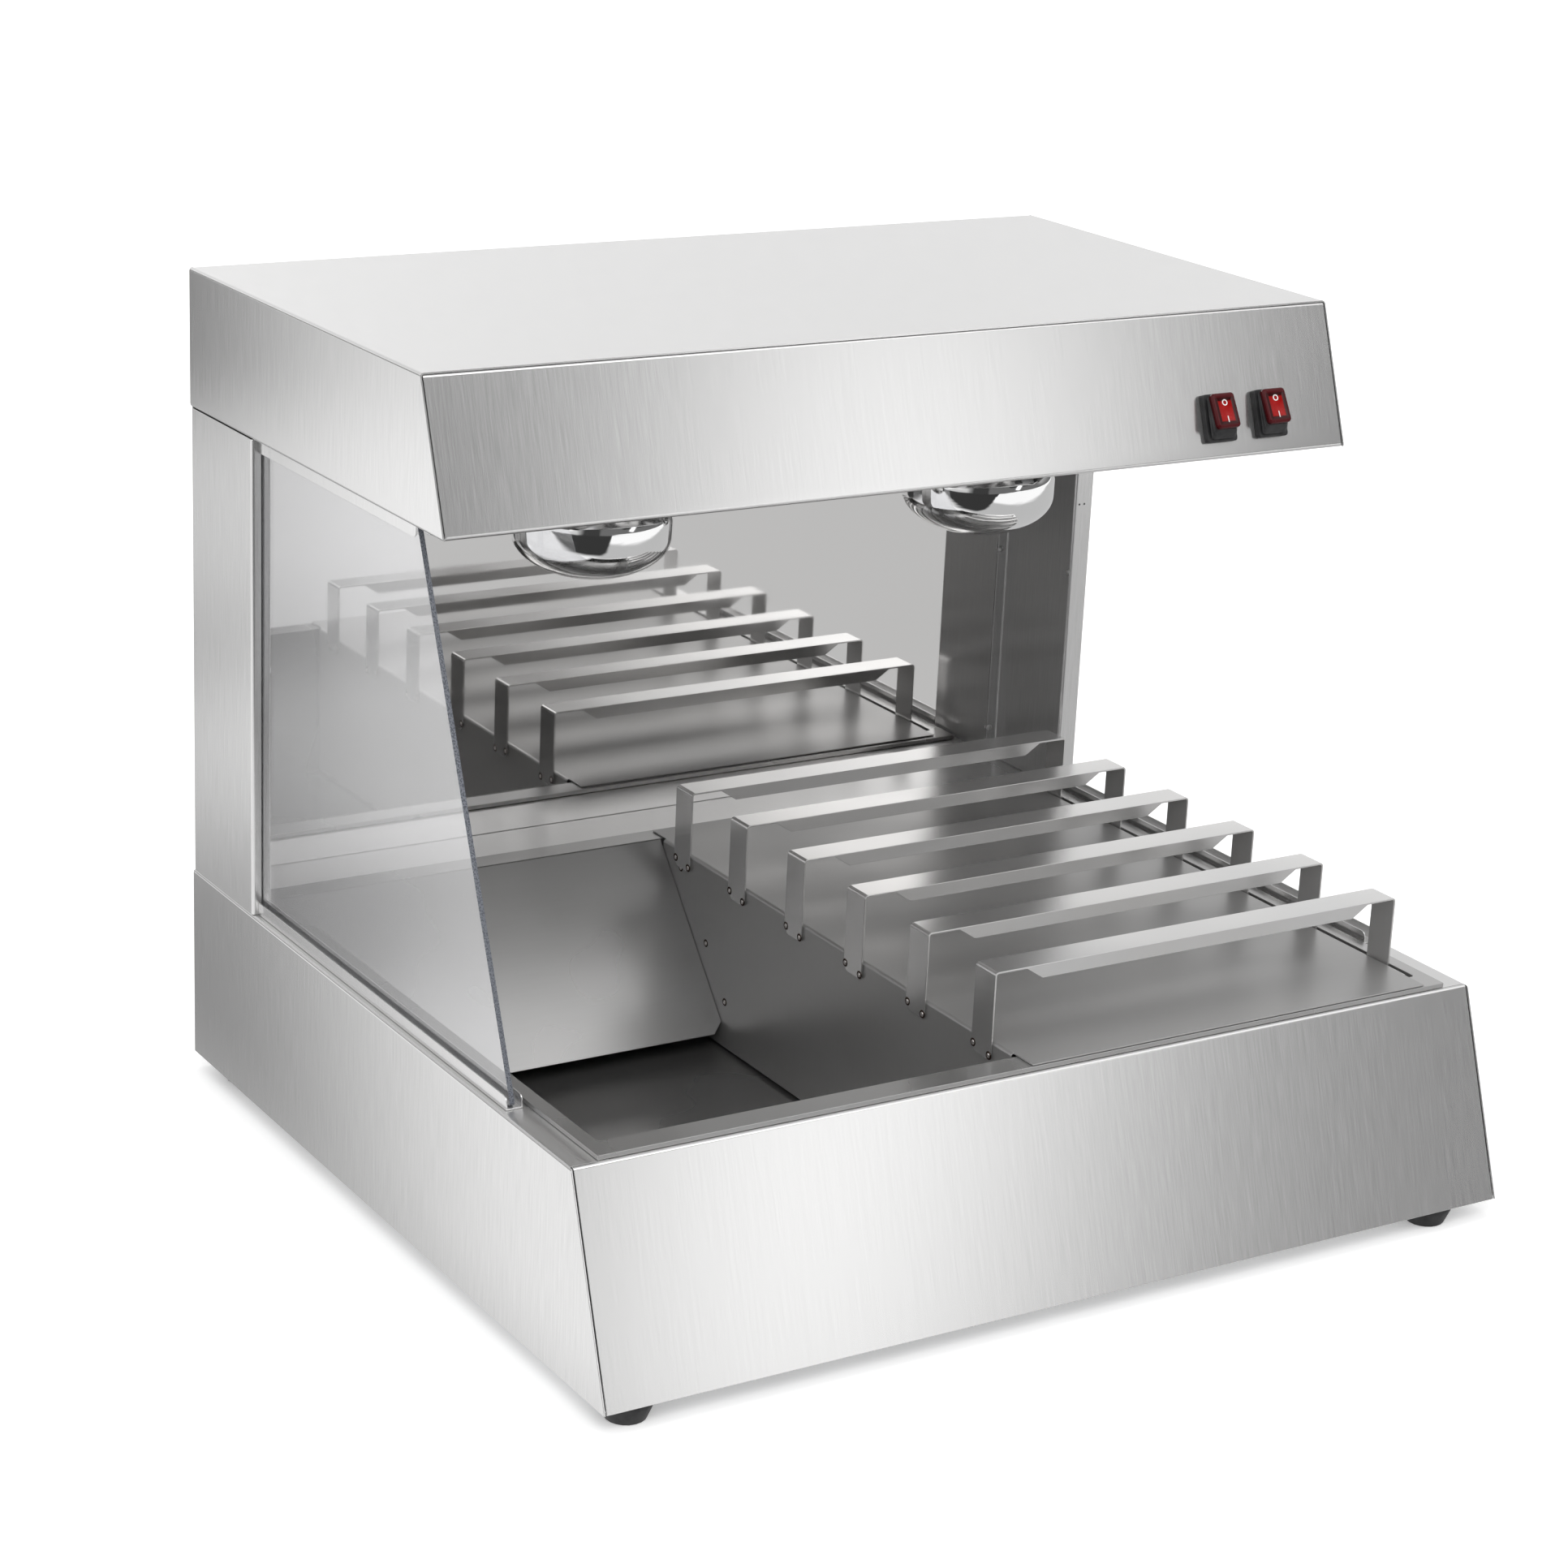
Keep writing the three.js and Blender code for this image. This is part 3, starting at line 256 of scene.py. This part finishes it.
class Material(Shader):
    """A principled material whose patterns lie in the object's own coordinates."""

    def __init__(self, name, **constants):
        self.material = bpy.data.materials.new(name)
        super().__init__(self.material)
        self.surface = self.node("ShaderNodeBsdfPrincipled")
        self.output = self.node("ShaderNodeOutputMaterial")
        self.tree.links.new(self.surface.outputs[0], self.output.inputs["Surface"])
        self.place = self.node("ShaderNodeTexCoord").outputs["Object"]
        for key, value in constants.items():
            self.set(key.replace("_", " "), value)

    def set(self, socket, value):
        self.feed(self.surface.inputs[socket], value)

    def noise(self, stretch, detail, distortion=0.0):
        """Noise with about this many waves in a metre: one number, or one for each axis."""
        if isinstance(stretch, (int, float)):
            stretch = (stretch,) * 3
        placed = self.node("ShaderNodeMapping", {"Vector": self.place, "Scale": stretch})
        inputs = {"Vector": placed.outputs[0], "Scale": 1.0, "Detail": detail, "Roughness": 0.5}
        return self.node("ShaderNodeTexNoise", {**inputs, "Distortion": distortion}).outputs[0]

    def colour(self, share, dark, light):
        self.set("Base Color", self.mix(share, dark, light))

    def roughen(self, value, rough, span=(0.3, 0.7)):
        """Roughness over the given range, as the value goes over most of its own."""
        self.set("Roughness", self.spread(value, *span, *rough))

    def bump(self, height, distance, strength):
        inputs = {"Height": height, "Distance": distance, "Strength": strength}
        self.set("Normal", self.node("ShaderNodeBump", inputs).outputs[0])


def grey(level, warmth=0.0):
    return (level * (1 + warmth), level, level * (1 - warmth), 1.0)


def brushed(name, across, along, level=0.78, contrast=0.05, rough=(0.185, 0.205), metallic=0.93):
    """Brushed sheet: fine streaks, close together across one axis and long along another."""
    steel = Material(name, Metallic=metallic)

    def streaks(across_scale, along_scale, detail):
        scales = {across: across_scale, along: along_scale}
        return steel.noise([scales.get(axis, 0.0) for axis in "XYZ"], detail)

    fine = streaks(900, 28, 3.0)
    wide = streaks(380, 12, 2.0)
    cloud = steel.noise(3.0, 1.0)
    tone = steel.spread(steel.total((fine, 0.8), (wide, 0.2), (cloud, 0.12)), 0.38, 0.74)
    steel.colour(tone, grey(level * (1 - contrast), 0.004), grey(level * (1 + contrast), 0.004))
    steel.roughen(fine, rough)
    steel.bump(fine, distance=0.00003, strength=0.01)
    return steel.material


def satin(name, level, rough, metallic=0.9):
    """Mill-finish sheet: soft clouds and the faint lines of the roller."""
    steel = Material(name, Metallic=metallic)
    cloud = steel.noise(6.0, 2.0)
    rolled = steel.noise((22, 700, 30), 2.0)
    tone = steel.spread(steel.total((cloud, 0.8), (rolled, 0.2)), 0.35, 0.65)
    steel.colour(tone, grey(level * 0.97, 0.012), grey(level * 1.03, 0.004))
    steel.roughen(cloud, rough, span=(0.35, 0.65))
    return steel.material


def mirror_finish():
    steel = Material("mirror_steel", Metallic=1.0)
    cloud = steel.noise(5.0, 2.0)
    scratch = steel.noise((8, 300, 60), 3.0)
    steel.colour(cloud, grey(0.88, 0.010), grey(0.93, 0.008))
    steel.roughen(scratch, (0.015, 0.05), span=(0.4, 0.75))
    steel.bump(cloud, distance=0.0004, strength=0.1)
    return steel.material


def zinc_finish():
    zinc = Material("zinc_sheet", Metallic=1.0)
    flakes = zinc.node("ShaderNodeTexVoronoi", {"Vector": zinc.place, "Scale": 85.0})
    shade = zinc.node("ShaderNodeSeparateColor", {0: flakes.outputs["Color"]}).outputs[0]
    zinc.colour(shade, grey(0.52, -0.01), grey(0.68, -0.01))
    zinc.roughen(shade, (0.34, 0.5), span=(0, 1))
    return zinc.material


def silvered_glass():
    """A near mirror under a clear layer, with the slow waves of blown glass near its face."""
    glass = Material("silvered_glass", Metallic=1.0, Coat_Weight=1.0, Coat_Roughness=0.02)
    waves = glass.noise((34, 34, 120), 1.5, distortion=0.6)
    cloud = glass.noise(14.0, 2.0)
    glass.colour(cloud, grey(0.80), grey(0.93))
    glass.roughen(cloud, (0.02, 0.07))
    _, _, height = glass.separate(glass.place)
    low = glass.spread(height, 0.478, 0.500, to_low=1.0, to_high=0.12, smooth=True)
    glass.bump(glass.math("MULTIPLY", waves, low), distance=0.004, strength=0.16)
    return glass.material


def cloudy_metal(name, dark, light, rough, grain, detail=3.0, depth=0.0):
    """The finish of a small metal part: one noise for its colour, roughness and bumps."""
    made = Material(name, Metallic=1.0)
    cloud = made.noise(grain, detail)
    made.colour(cloud, dark, light)
    made.roughen(cloud, rough)
    if depth:
        made.bump(cloud, distance=depth, strength=0.5)
    return made.material


def dull(name, dark, light, rough, grain, depth=0.00006, coat=0.0):
    """A plain moulded or glazed material with a fine grain."""
    made = Material(name, Coat_Weight=coat)
    cloud = made.noise(grain / 12, 2.0)
    fine = made.noise(grain, 3.0)
    made.colour(made.spread(cloud, 0.3, 0.7), dark, light)
    made.roughen(fine, rough)
    made.bump(fine, distance=depth, strength=0.5)
    return made.material


def pane_glass():
    glass = Material("pane_glass", IOR=1.5, Transmission_Weight=0.95, Coat_Weight=1.0)
    smear = glass.noise((5, 5, 8), 3.0)
    glass.colour(smear, (0.95, 0.953, 0.972, 1), (0.98, 0.98, 0.992, 1))
    glass.roughen(smear, (0.0, 0.01), span=(0.5, 0.8))
    return glass.material


def pane_edge():
    edge = Material("pane_edge", IOR=1.5, Transmission_Weight=0.35)
    saw = edge.noise((900, 700, 700), 2.0)
    edge.colour(saw, (0.12, 0.13, 0.155, 1), (0.24, 0.255, 0.29, 1))
    edge.roughen(saw, (0.18, 0.4))
    edge.bump(saw, distance=0.00004, strength=0.2)
    return edge.material


def red_cap():
    """The clear red cap: a bright window with dark red walls round it, painted shade of the hollow
    inside it, and a paler rim.
    """
    half_x, middle_y, half_y = 0.0057, 0.00125, 0.00745
    red = Material("red_cap", Specular_IOR_Level=0.2)
    x, y, _ = red.separate(red.place)
    beside = red.math("SUBTRACT", red.math("ABSOLUTE", x), half_x)
    from_middle = red.math("ABSOLUTE", red.math("SUBTRACT", y, middle_y))
    outside = red.math("MAXIMUM", beside, red.math("SUBTRACT", from_middle, half_y))
    cloud = red.noise(320.0, 2.0)
    uneven = red.math("MULTIPLY", red.math("SUBTRACT", cloud, 0.5), 0.0006)
    # The dark red walls are painted shade of the hollow inside the cap
    wall = red.spread(red.math("ADD", outside, uneven), 0.0, 0.0014, smooth=True)
    rim = red.spread(outside, 0.0026, 0.0042, smooth=True)
    window = red.mix(cloud, (0.22, 0.002, 0.002, 1), (0.36, 0.004, 0.003, 1))
    shade = red.mix(wall, window, (0.026, 0.0012, 0.0015, 1))
    red.colour(rim, shade, (0.060, 0.003, 0.005, 1))
    red.roughen(cloud, (0.16, 0.28))
    return red.material


front_steel = brushed("brushed_front", "X", "Z")
column_steel = brushed("brushed_column", "Y", "Z", level=0.72, metallic=0.72)
flange_steel = brushed("brushed_flange", "X", "Z", level=0.7, metallic=0.8)
side_steel = brushed("brushed_side", "Y", "Z")
top_steel = brushed("brushed_top", "X", "Y", level=0.80, contrast=0.012, rough=(0.3, 0.36))
screw_steel = brushed("screw_steel", "X", "Z", level=0.6, contrast=0.1, rough=(0.25, 0.4))
satin_steel = satin("satin_steel", 0.50, (0.2, 0.3))
chute_steel = satin("chute_steel", 0.39, (0.24, 0.32))
pan_steel = satin("pan_steel", 0.50, (0.22, 0.34))
plate_steel = satin("plate_steel", 0.43, (0.32, 0.42), 0.74)
rail_steel = satin("rail_steel", 0.70, (0.20, 0.26), 0.88)
mirror_steel = mirror_finish()
zinc = zinc_finish()
silver = silvered_glass()
brass = cloudy_metal("brass_cap", (0.58, 0.44, 0.20, 1), (0.80, 0.66, 0.36, 1), (0.25, 0.42), 160)
weld_steel = cloudy_metal(
    "weld_bead", (0.55, 0.50, 0.47, 1), (0.88, 0.86, 0.85, 1), (0.2, 0.45), 700, depth=0.0003
)
scorch = cloudy_metal(
    "weld_scorch", (0.028, 0.018, 0.014, 1), (0.09, 0.055, 0.04, 1), (0.35, 0.55), 900, detail=2.0
)
ceramic = dull(
    "glazed_ceramic", (0.74, 0.72, 0.67, 1), (0.86, 0.84, 0.80, 1), (0.18, 0.3), 400, coat=0.5
)
rubber = dull("black_rubber", (0.010, 0.010, 0.011, 1), (0.026, 0.026, 0.027, 1), (0.42, 0.6), 1500)
# Black plastic, also used for the column's hole discs as painted shade
black = dull("black_plastic", (0.014, 0.014, 0.015, 1), (0.030, 0.030, 0.031, 1), (0.3, 0.45), 2500)
white = dull("white_plastic", (0.74, 0.73, 0.69, 1), (0.84, 0.83, 0.79, 1), (0.3, 0.45), 2500)
mark_white = dull("mark_white", (0.80, 0.77, 0.76, 1), (0.93, 0.91, 0.90, 1), (0.3, 0.45), 3000)
sleeve = dull(
    "lead_sleeve", (0.66, 0.63, 0.55, 1), (0.80, 0.77, 0.70, 1), (0.5, 0.7), 3000, depth=0.0002
)
pane = pane_glass()
edge_glass = pane_edge()
cap_red = red_cap()


# The softening of the CAD nodes' edges: corners this close are one, faces within the first angle
# are one plane, and edges over the second are rounded
SAME_CORNER = 0.00001
SAME_PLANE = math.radians(0.3)
SHARP_EDGE = math.radians(40)


def dress(name, finish, bevel=0.35, segments=2):
    """Gives a CAD node its finish and, with a bevel in millimetres, softened edges.

    The finish is one material, or three for the faces that look along X, Y and Z.
    """
    by_axis = finish if isinstance(finish, tuple) else (finish,) * 3
    order = list(dict.fromkeys(by_axis))
    node = nodes[name]
    mesh = node.data
    mesh.materials.clear()
    for material in order:
        mesh.materials.append(material)
    for face in mesh.polygons:
        size = [abs(part) for part in face.normal]
        face.material_index = order.index(by_axis[size.index(max(size))])
        face.use_smooth = True
    if "custom_normal" in mesh.attributes:
        mesh.attributes.remove(mesh.attributes["custom_normal"])
    if not bevel:
        return
    modify(node, "weld", "WELD", merge_threshold=SAME_CORNER)
    modify(node, "flat", "DECIMATE", decimate_type="DISSOLVE", angle_limit=SAME_PLANE)
    modify(
        node, "soften", "BEVEL", width=bevel * MM, segments=segments,
        limit_method="ANGLE", angle_limit=SHARP_EDGE, use_clamp_overlap=True,
    )
    modify(node, "even", "WEIGHTED_NORMAL", keep_sharp=True, weight=100)


brushed_set = (side_steel, front_steel, top_steel)
for name in ("base_left_side", "base_right_side", "base_front_panel", "base_rear_panel"):
    dress(name, brushed_set)
for name in ("rear_cover", "canopy_shell", "canopy_front_panel"):
    dress(name, brushed_set)
for i in range(RAIL_COUNT):
    dress(f"rack_rail_{i + 1}", rail_steel)
dress("rack_plate", plate_steel)
dress("chute_plate", chute_steel)
dress("lamp_tray", satin_steel)
dress("chip_pan", pan_steel)
dress("mirror_panel", mirror_steel, 0.2)
dress("base_floor", zinc, 0.2)
dress("switch_cover", zinc, 0.2)
for side in SIDES:
    dress(f"column_{side}", (column_steel, flange_steel, flange_steel))
    dress(f"track_bottom_{side}", brushed_set, 0.2)
    dress(f"track_top_{side}", brushed_set, 0.2)
    for end in ENDS:
        dress(f"foot_{end}_{side}", rubber, 0.8, 3)
    dress(f"switch_boot_{side}", rubber, 0.5, 3)
    dress(f"switch_body_{side}", black, 0.2)
    dress(f"lamp_cap_{side}", brass, 0.15)
    dress(f"lamp_holder_{side}", ceramic, 0.6)
    dress(f"lamp_lead_{side}", sleeve, 0)
dress("cable_gland", black, 0.3)
dress("terminal_block", white, 0.4)
dress("supply_lead", sleeve, 0)
dress("side_glass", (pane, edge_glass, edge_glass), 0)
for face in nodes["side_glass"].data.polygons:
    face.use_smooth = False


def solid(name, form, material):
    """A smooth object from a form, which is used up."""
    mesh = bpy.data.meshes.new(name)
    bmesh.ops.recalc_face_normals(form, faces=form.faces)
    form.to_mesh(mesh)
    form.free()
    for face in mesh.polygons:
        face.use_smooth = True
    mesh.materials.append(material)
    return add(name, mesh)


def piece(name, form, material, body, place=None):
    """A rigid piece of the scene's own."""
    made = solid(name, form, material)
    if place is not None:
        made.matrix_world = place
    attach(made, body)
    return made


def loft(form, rings, ends="capped"):
    """Joins rings of as many points into one skin, whose ends are capped, open or joined."""
    rows = [[form.verts.new(point) for point in ring] for ring in rings]
    count = len(rows[0])
    following = rows[1:] + rows[:1] if ends == "joined" else rows[1:]
    for near, far in zip(rows, following):
        for i in range(count):
            j = (i + 1) % count
            form.faces.new((near[i], near[j], far[j], far[i]))
    if ends == "capped":
        form.faces.new(rows[0])
        form.faces.new(rows[-1])


def turned(form, profile, place, steps):
    """A turned shape about the local Z of its place; the profile is in millimetres."""
    angles = [2 * math.pi * i / steps for i in range(steps)]
    rings = []
    for radius, height in profile:
        reach = radius * MM
        ring = [Vector((reach * math.cos(a), reach * math.sin(a), height * MM)) for a in angles]
        rings.append([place @ point for point in ring])
    loft(form, rings)


def turned_at(profile, places, steps):
    """The same turned shape at every place: a point in millimetres and the way that it looks."""
    form = bmesh.new()
    for point, normal in places:
        turn = Vector(normal).to_track_quat("Z", "Y").to_matrix().to_4x4()
        turned(form, profile, Matrix.Translation(Vector(point) * MM) @ turn, steps)
    return form


def rounded_rectangle(half_x, half_y, radius, height, shift=0.0, steps=5):
    """A ring of points, in millimetres, moved along Y by the shift."""
    points = []
    for turn, (x, y) in enumerate(((1, 1), (-1, 1), (-1, -1), (1, -1))):
        for i in range(steps + 1):
            angle = math.pi / 2 * (turn + i / steps)
            across = x * (half_x - radius) + radius * math.cos(angle)
            along = y * (half_y - radius) + radius * math.sin(angle)
            points.append((across * MM, along * MM + shift * MM, height * MM))
    return points


def bulb_profile(steps=22):
    """The lamp's face as an arc, its shoulder as a curve and its neck as a cone, up to the cap."""
    bottom, radius, rise, shoulder = 469.0, 62.5, 34.0, 14.0
    neck, neck_rise, cone_rise, cap_radius, end = 21.0, 118.0, 138.0, 13.2, 620.7
    centre_radius = 0.3
    points = []
    for i in range(steps + 1):
        angle = math.pi / 2 * i / steps
        around = max(radius * math.sin(angle), centre_radius)
        points.append((around, bottom + rise - rise * math.cos(angle)))
    start = Vector((radius, bottom + rise + shoulder))
    controls = (
        start,
        Vector((radius * 0.9, start.y + radius / 2)),
        Vector((neck, bottom + neck_rise * 0.62)),
        Vector((neck, bottom + neck_rise)),
    )
    for i in range(steps + 1):
        t = i / steps
        shares = ((1 - t) ** 3, 3 * t * (1 - t) ** 2, 3 * t * t * (1 - t), t**3)
        point = sum((share * control for share, control in zip(shares, controls)), Vector((0, 0)))
        points.append((point.x, point.y))
    return points + [(cap_radius, bottom + cone_rise), (cap_radius, end)]


# Lamps: smooth turned bulbs in place of the faceted ones
for side in SIDES:
    form = bmesh.new()
    low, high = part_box(f"lamp_bulb_{side}")
    middle = (low + high) / 2
    turned(form, bulb_profile(), Matrix.Translation((middle.x, middle.y, 0)), steps=96)
    bulb = piece(f"bulb_{side}", form, silver, "casing")
    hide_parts(f"lamp_bulb_{side}")

# Rivets on the columns' inner flanges and on their folds
rivets = []
for sign in (-1, 1):
    for height in FLANGE_RIVET_HEIGHTS:
        rivets.append(((sign * FLANGE_RIVET_X, FLANGE_RIVET_Y, height), TO_FRONT))
    x, y, z = FOLD_RIVET
    rivets.append(((sign * x, y, z), (-sign, 0, 0)))
piece("column_rivets", turned_at(RIVET, rivets, steps=20), screw_steel, "casing")

# Two small holes in the right column's front, as flat black discs: painted shade in place of their
# depth
hole_shades = [(point, TO_FRONT) for point in COLUMN_HOLES]
piece("column_hole_shades", turned_at(HOLE_SHADE, hole_shades, steps=16), black, "casing")

# Welds: two on each leg of a rail, three on the rack's side plate
welds = []
for i in range(RAIL_COUNT):
    for x, way in RAIL_LEGS:
        for behind, height in LEG_WELDS:
            welds.append(((x, RAIL_FIRST_Y + RAIL_PITCH * i + behind, height), (way, 0, 0)))
welds += [(point, (-1, 0, 0)) for point in SIDE_WELDS]
piece("rack_welds", turned_at(BEAD, welds, steps=16), weld_steel, "bagging_rack")
piece("rack_weld_halos", turned_at(HALO, welds, steps=20), scorch, "bagging_rack")


def cap_form():
    form = bmesh.new()
    rings = []
    for inset, drop in CAP_RINGS:
        half_x, half_y = CAP_HALF_X - inset, CAP_HALF_Y - inset
        corner = max(CAP_CORNER - inset, CAP_LEAST_CORNER)
        rings.append(rounded_rectangle(half_x, half_y, corner, CAP_TOP + drop, CAP_SHIFT))
    loft(form, rings)
    return form


def off_mark_form(steps=32):
    """The O: a thin flat ring, a little proud of the cap."""
    form = bmesh.new()
    place = Matrix.Translation((0, OFF_MARK_Y * MM, OFF_MARK_HEIGHT * MM))
    inner, outer = OFF_MARK_RADIUS - MARK_HALF_WIDTH, OFF_MARK_RADIUS + MARK_HALF_WIDTH
    section = ((inner, -0.1), (inner, 0.14), (outer, 0.14), (outer, -0.1))
    rings = []
    for i in range(steps):
        angle = 2 * math.pi * i / steps
        out = Vector((math.cos(angle), math.sin(angle), 0))
        rings.append([place @ (out * (r * MM) + Vector((0, 0, z * MM))) for r, z in section])
    loft(form, rings, ends="joined")
    return form


def on_mark_form():
    """The I: a thin flat bar, a little proud of the cap."""
    form = bmesh.new()
    rings = []
    for height in ON_MARK_HEIGHTS:
        half_x, half_y = MARK_HALF_WIDTH, ON_MARK_HALF_LENGTH
        rings.append(rounded_rectangle(half_x, half_y, ON_MARK_CORNER, height, ON_MARK_Y, steps=3))
    loft(form, rings)
    return form


def bellows_form(flat, tilted):
    """The rubber folds, from the frame's own plane to that of the tilted cap."""
    form = bmesh.new()
    lower = flat @ Matrix.Translation((0, 0, FOLDS_FOOT * MM))
    upper = tilted @ Matrix.Translation((0, 0, FOLDS_TOP * MM))
    rings = []
    for half_x, half_y, t in FOLD_RINGS:
        ring = rounded_rectangle(half_x, half_y, FOLDS_CORNER, 0, t * CAP_SHIFT)
        rings.append([(lower @ Vector(p)).lerp(upper @ Vector(p), t) for p in ring])
    loft(form, rings, ends="open")
    return form


# Switches: caps, marks and rubber folds, each in its rocker's own place
slope = math.hypot(CANOPY_RUN, CANOPY_RISE)
run, rise = CANOPY_RUN / slope, CANOPY_RISE / slope
panel_turn = Matrix(((1, 0, 0, 0), (0, run, -rise, 0), (0, rise, run, 0), (0, 0, 0, 1)))
for side in SIDES:
    pivot = Vector(joints[f"rocker_{side}_press"]["pos_m"])
    flat = Matrix.Translation(pivot) @ panel_turn
    tilted = flat @ Matrix.Rotation(-math.radians(ROCKER_TILT), 4, "X")
    body = f"rocker_{side}"
    cap = piece(f"switch_cap_{side}", cap_form(), cap_red, body, place=tilted)
    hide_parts(body)
    piece(f"mark_off_{side}", off_mark_form(), mark_white, body, place=tilted)
    piece(f"mark_on_{side}", on_mark_form(), mark_white, body, place=tilted)
    made = solid(f"switch_bellows_{side}", bellows_form(flat, tilted), rubber)
    modify(made, "wall", "SOLIDIFY", thickness=FOLDS_WALL * MM, offset=-1)
    modify(made, "smooth", "SUBSURF", levels=2, render_levels=2)
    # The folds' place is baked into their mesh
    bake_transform(made)

# Screws: round the rear cover, and one in each foot's recess
screws = [((x, COVER_BACK, z), TO_BACK) for x in COVER_SCREWS_X for z in COVER_SCREWS_HEIGHTS]
for x in (COVER_SCREWS_X[0], COVER_SCREWS_X[-1]):
    screws.append(((x, COVER_BACK, COVER_MIDDLE_HEIGHT), TO_BACK))
for end in ENDS:
    for side in SIDES:
        low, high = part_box(f"foot_{end}_{side}")
        middle = (low + high) / 2 / MM
        screws.append(((middle.x, middle.y, FOOT_SCREW_HEIGHT), DOWNWARDS))
piece("screws", turned_at(SCREW, screws, steps=24), screw_steel, "casing")


def studio():
    """The world: white to the camera, even for dull surfaces, soft boxes for what reflects."""
    world = bpy.data.worlds.new("studio")
    bpy.context.scene.world = world
    sky = Shader(world)
    way = sky.node("ShaderNodeTexCoord").outputs["Generated"]
    total = WORLD_BETWEEN_BOXES
    for azimuth, elevation, roll, wide, tall, edge, strength in SOFT_BOXES:
        across, upwards, out = axes(azimuth, elevation, roll)
        ahead = sky.along("DOT_PRODUCT", way, out)
        shares = []
        for axis, reach in ((across, wide), (upwards, tall)):
            beside = sky.math("ABSOLUTE", sky.along("DOT_PRODUCT", way, axis))
            degrees = sky.math("DEGREES", sky.math("ARCTAN2", beside, ahead))
            shares.append(sky.spread(degrees, reach, reach + edge, 1.0, 0.0, smooth=True))
        glow = sky.math("MULTIPLY", sky.math("MULTIPLY", *shares), strength)
        total = sky.math("ADD", glow, total)
    total = sky.math("MAXIMUM", total, WORLD_DARKEST)
    path = sky.node("ShaderNodeLightPath").outputs
    seen = sky.math("MAXIMUM", path["Is Camera Ray"], path["Is Transmission Ray"])
    shown = sky.mix(seen, sky.mix(path["Is Diffuse Ray"], total, WORLD_FOR_DULL), WHITE)
    light = sky.node("ShaderNodeBackground", {"Color": shown, "Strength": 1.0})
    end = sky.node("ShaderNodeOutputWorld")
    sky.tree.links.new(light.outputs[0], end.inputs["Surface"])


def reflected_floor(floor):
    """How bright the floor is to what reflects it: one sweep at the left, one at the right."""
    across, depth, _ = floor.separate(floor.place)
    slant = floor.along("DOT_PRODUCT", floor.place, (2.365, 1.0, 0.0))
    line = floor.math("ADD", slant, 0.95)
    behind = floor.spread(depth, 0.55, 1.5, to_low=0.28, to_high=0.34, smooth=True)
    far_end = floor.spread(depth, 2.35, 2.9, to_low=1.0, to_high=0.05, smooth=True)
    shade = floor.math("MULTIPLY", behind, far_end)
    left = floor.spread(line, -0.4, 0.34, to_low=1.02, to_high=shade, smooth=True)
    in_front = floor.spread(depth, -0.95, -0.4, to_low=0.04, to_high=1.0, smooth=True)
    left = floor.math("MULTIPLY", left, in_front)
    outwards = floor.along("DOT_PRODUCT", floor.place, (0.5, -0.86, 0))
    right = floor.spread(outwards, 1.9, 2.6, to_low=0.55, to_high=1.1, smooth=True)
    share = floor.spread(across, -0.48, -0.3, smooth=True)
    bright = floor.node("ShaderNodeMix", {0: share, 2: left, 3: right}).outputs[0]
    for x, y, reach, strength in FLOOR_GLOWS:
        span = floor.along("DISTANCE", floor.place, (x, y, 0))
        glow = floor.spread(span, reach / 4, reach, to_low=strength, to_high=0.0, smooth=True)
        bright = floor.math("ADD", bright, glow)
    return bright


def floor_finish():
    """A pale floor that is clear from below, and whose look in metal is set apart."""
    floor = Material("pale_floor", Roughness=1.0, Specular_IOR_Level=0.0, Emission_Color=WHITE)
    path = floor.node("ShaderNodeLightPath").outputs
    floor.colour(floor.noise(30.0, 3.0), grey(0.90), grey(0.93))
    seen = floor.math("MAXIMUM", path["Is Camera Ray"], path["Is Transmission Ray"])
    away = floor.along("LENGTH", floor.place)
    lift = floor.spread(away, 1.0, 5.0, to_low=0.28, to_high=0.7)
    floor.set("Emission Strength", floor.math("MULTIPLY", seen, lift))
    shine = floor.node("ShaderNodeEmission", {"Color": WHITE, "Strength": reflected_floor(floor)})
    clear = floor.node("ShaderNodeBsdfTransparent")
    behind = floor.node("ShaderNodeNewGeometry").outputs["Backfacing"]
    shown = floor.surface
    for share, other in ((path["Is Glossy Ray"], shine), (behind, clear)):
        inputs = {0: share, 1: shown.outputs[0], 2: other.outputs[0]}
        shown = floor.node("ShaderNodeMixShader", inputs)
    floor.tree.links.new(shown.outputs[0], floor.output.inputs["Surface"])
    return floor.material


def lamp(name, place, size, power):
    """A soft square lamp that lights the object and isn't seen, also not in metal or glass."""
    light = bpy.data.lights.new(name, "AREA")
    light.size = size
    light.energy = power
    made = add(name, light)
    made.location = place
    aim = Vector(LAMP_AIM) - Vector(place)
    made.rotation_euler = aim.to_track_quat("-Z", "Y").to_euler()
    made.visible_glossy = False
    made.visible_camera = False
    made.visible_transmission = False


def camera():
    across, upwards, back = axes(CAMERA_AZIMUTH, CAMERA_ELEVATION, CAMERA_ROLL)
    made = add("camera", bpy.data.cameras.new("camera"))
    turn = Matrix((across, upwards, back)).transposed().to_4x4()
    made.matrix_world = Matrix.Translation(CAMERA_PLACE) @ turn
    made.data.sensor_width = CAMERA_SENSOR
    made.data.lens = CAMERA_LENS
    bpy.context.scene.camera = made


# Stage: a studio that metal can reflect, soft lamps, a pale floor and the camera
studio()
for name, place, size, power in LAMPS:
    lamp(name, place, size, power)
form = bmesh.new()
corners = ((-1, -1), (1, -1), (1, 1), (-1, 1))
form.faces.new([form.verts.new((x * FLOOR_REACH, y * FLOOR_REACH, 0)) for x, y in corners])
floor_mesh = bpy.data.meshes.new("floor")
form.to_mesh(floor_mesh)
form.free()
floor_mesh.materials.append(floor_finish())
floor = add("floor", floor_mesh)
camera()
bpy.context.scene.view_settings.view_transform = "Standard"
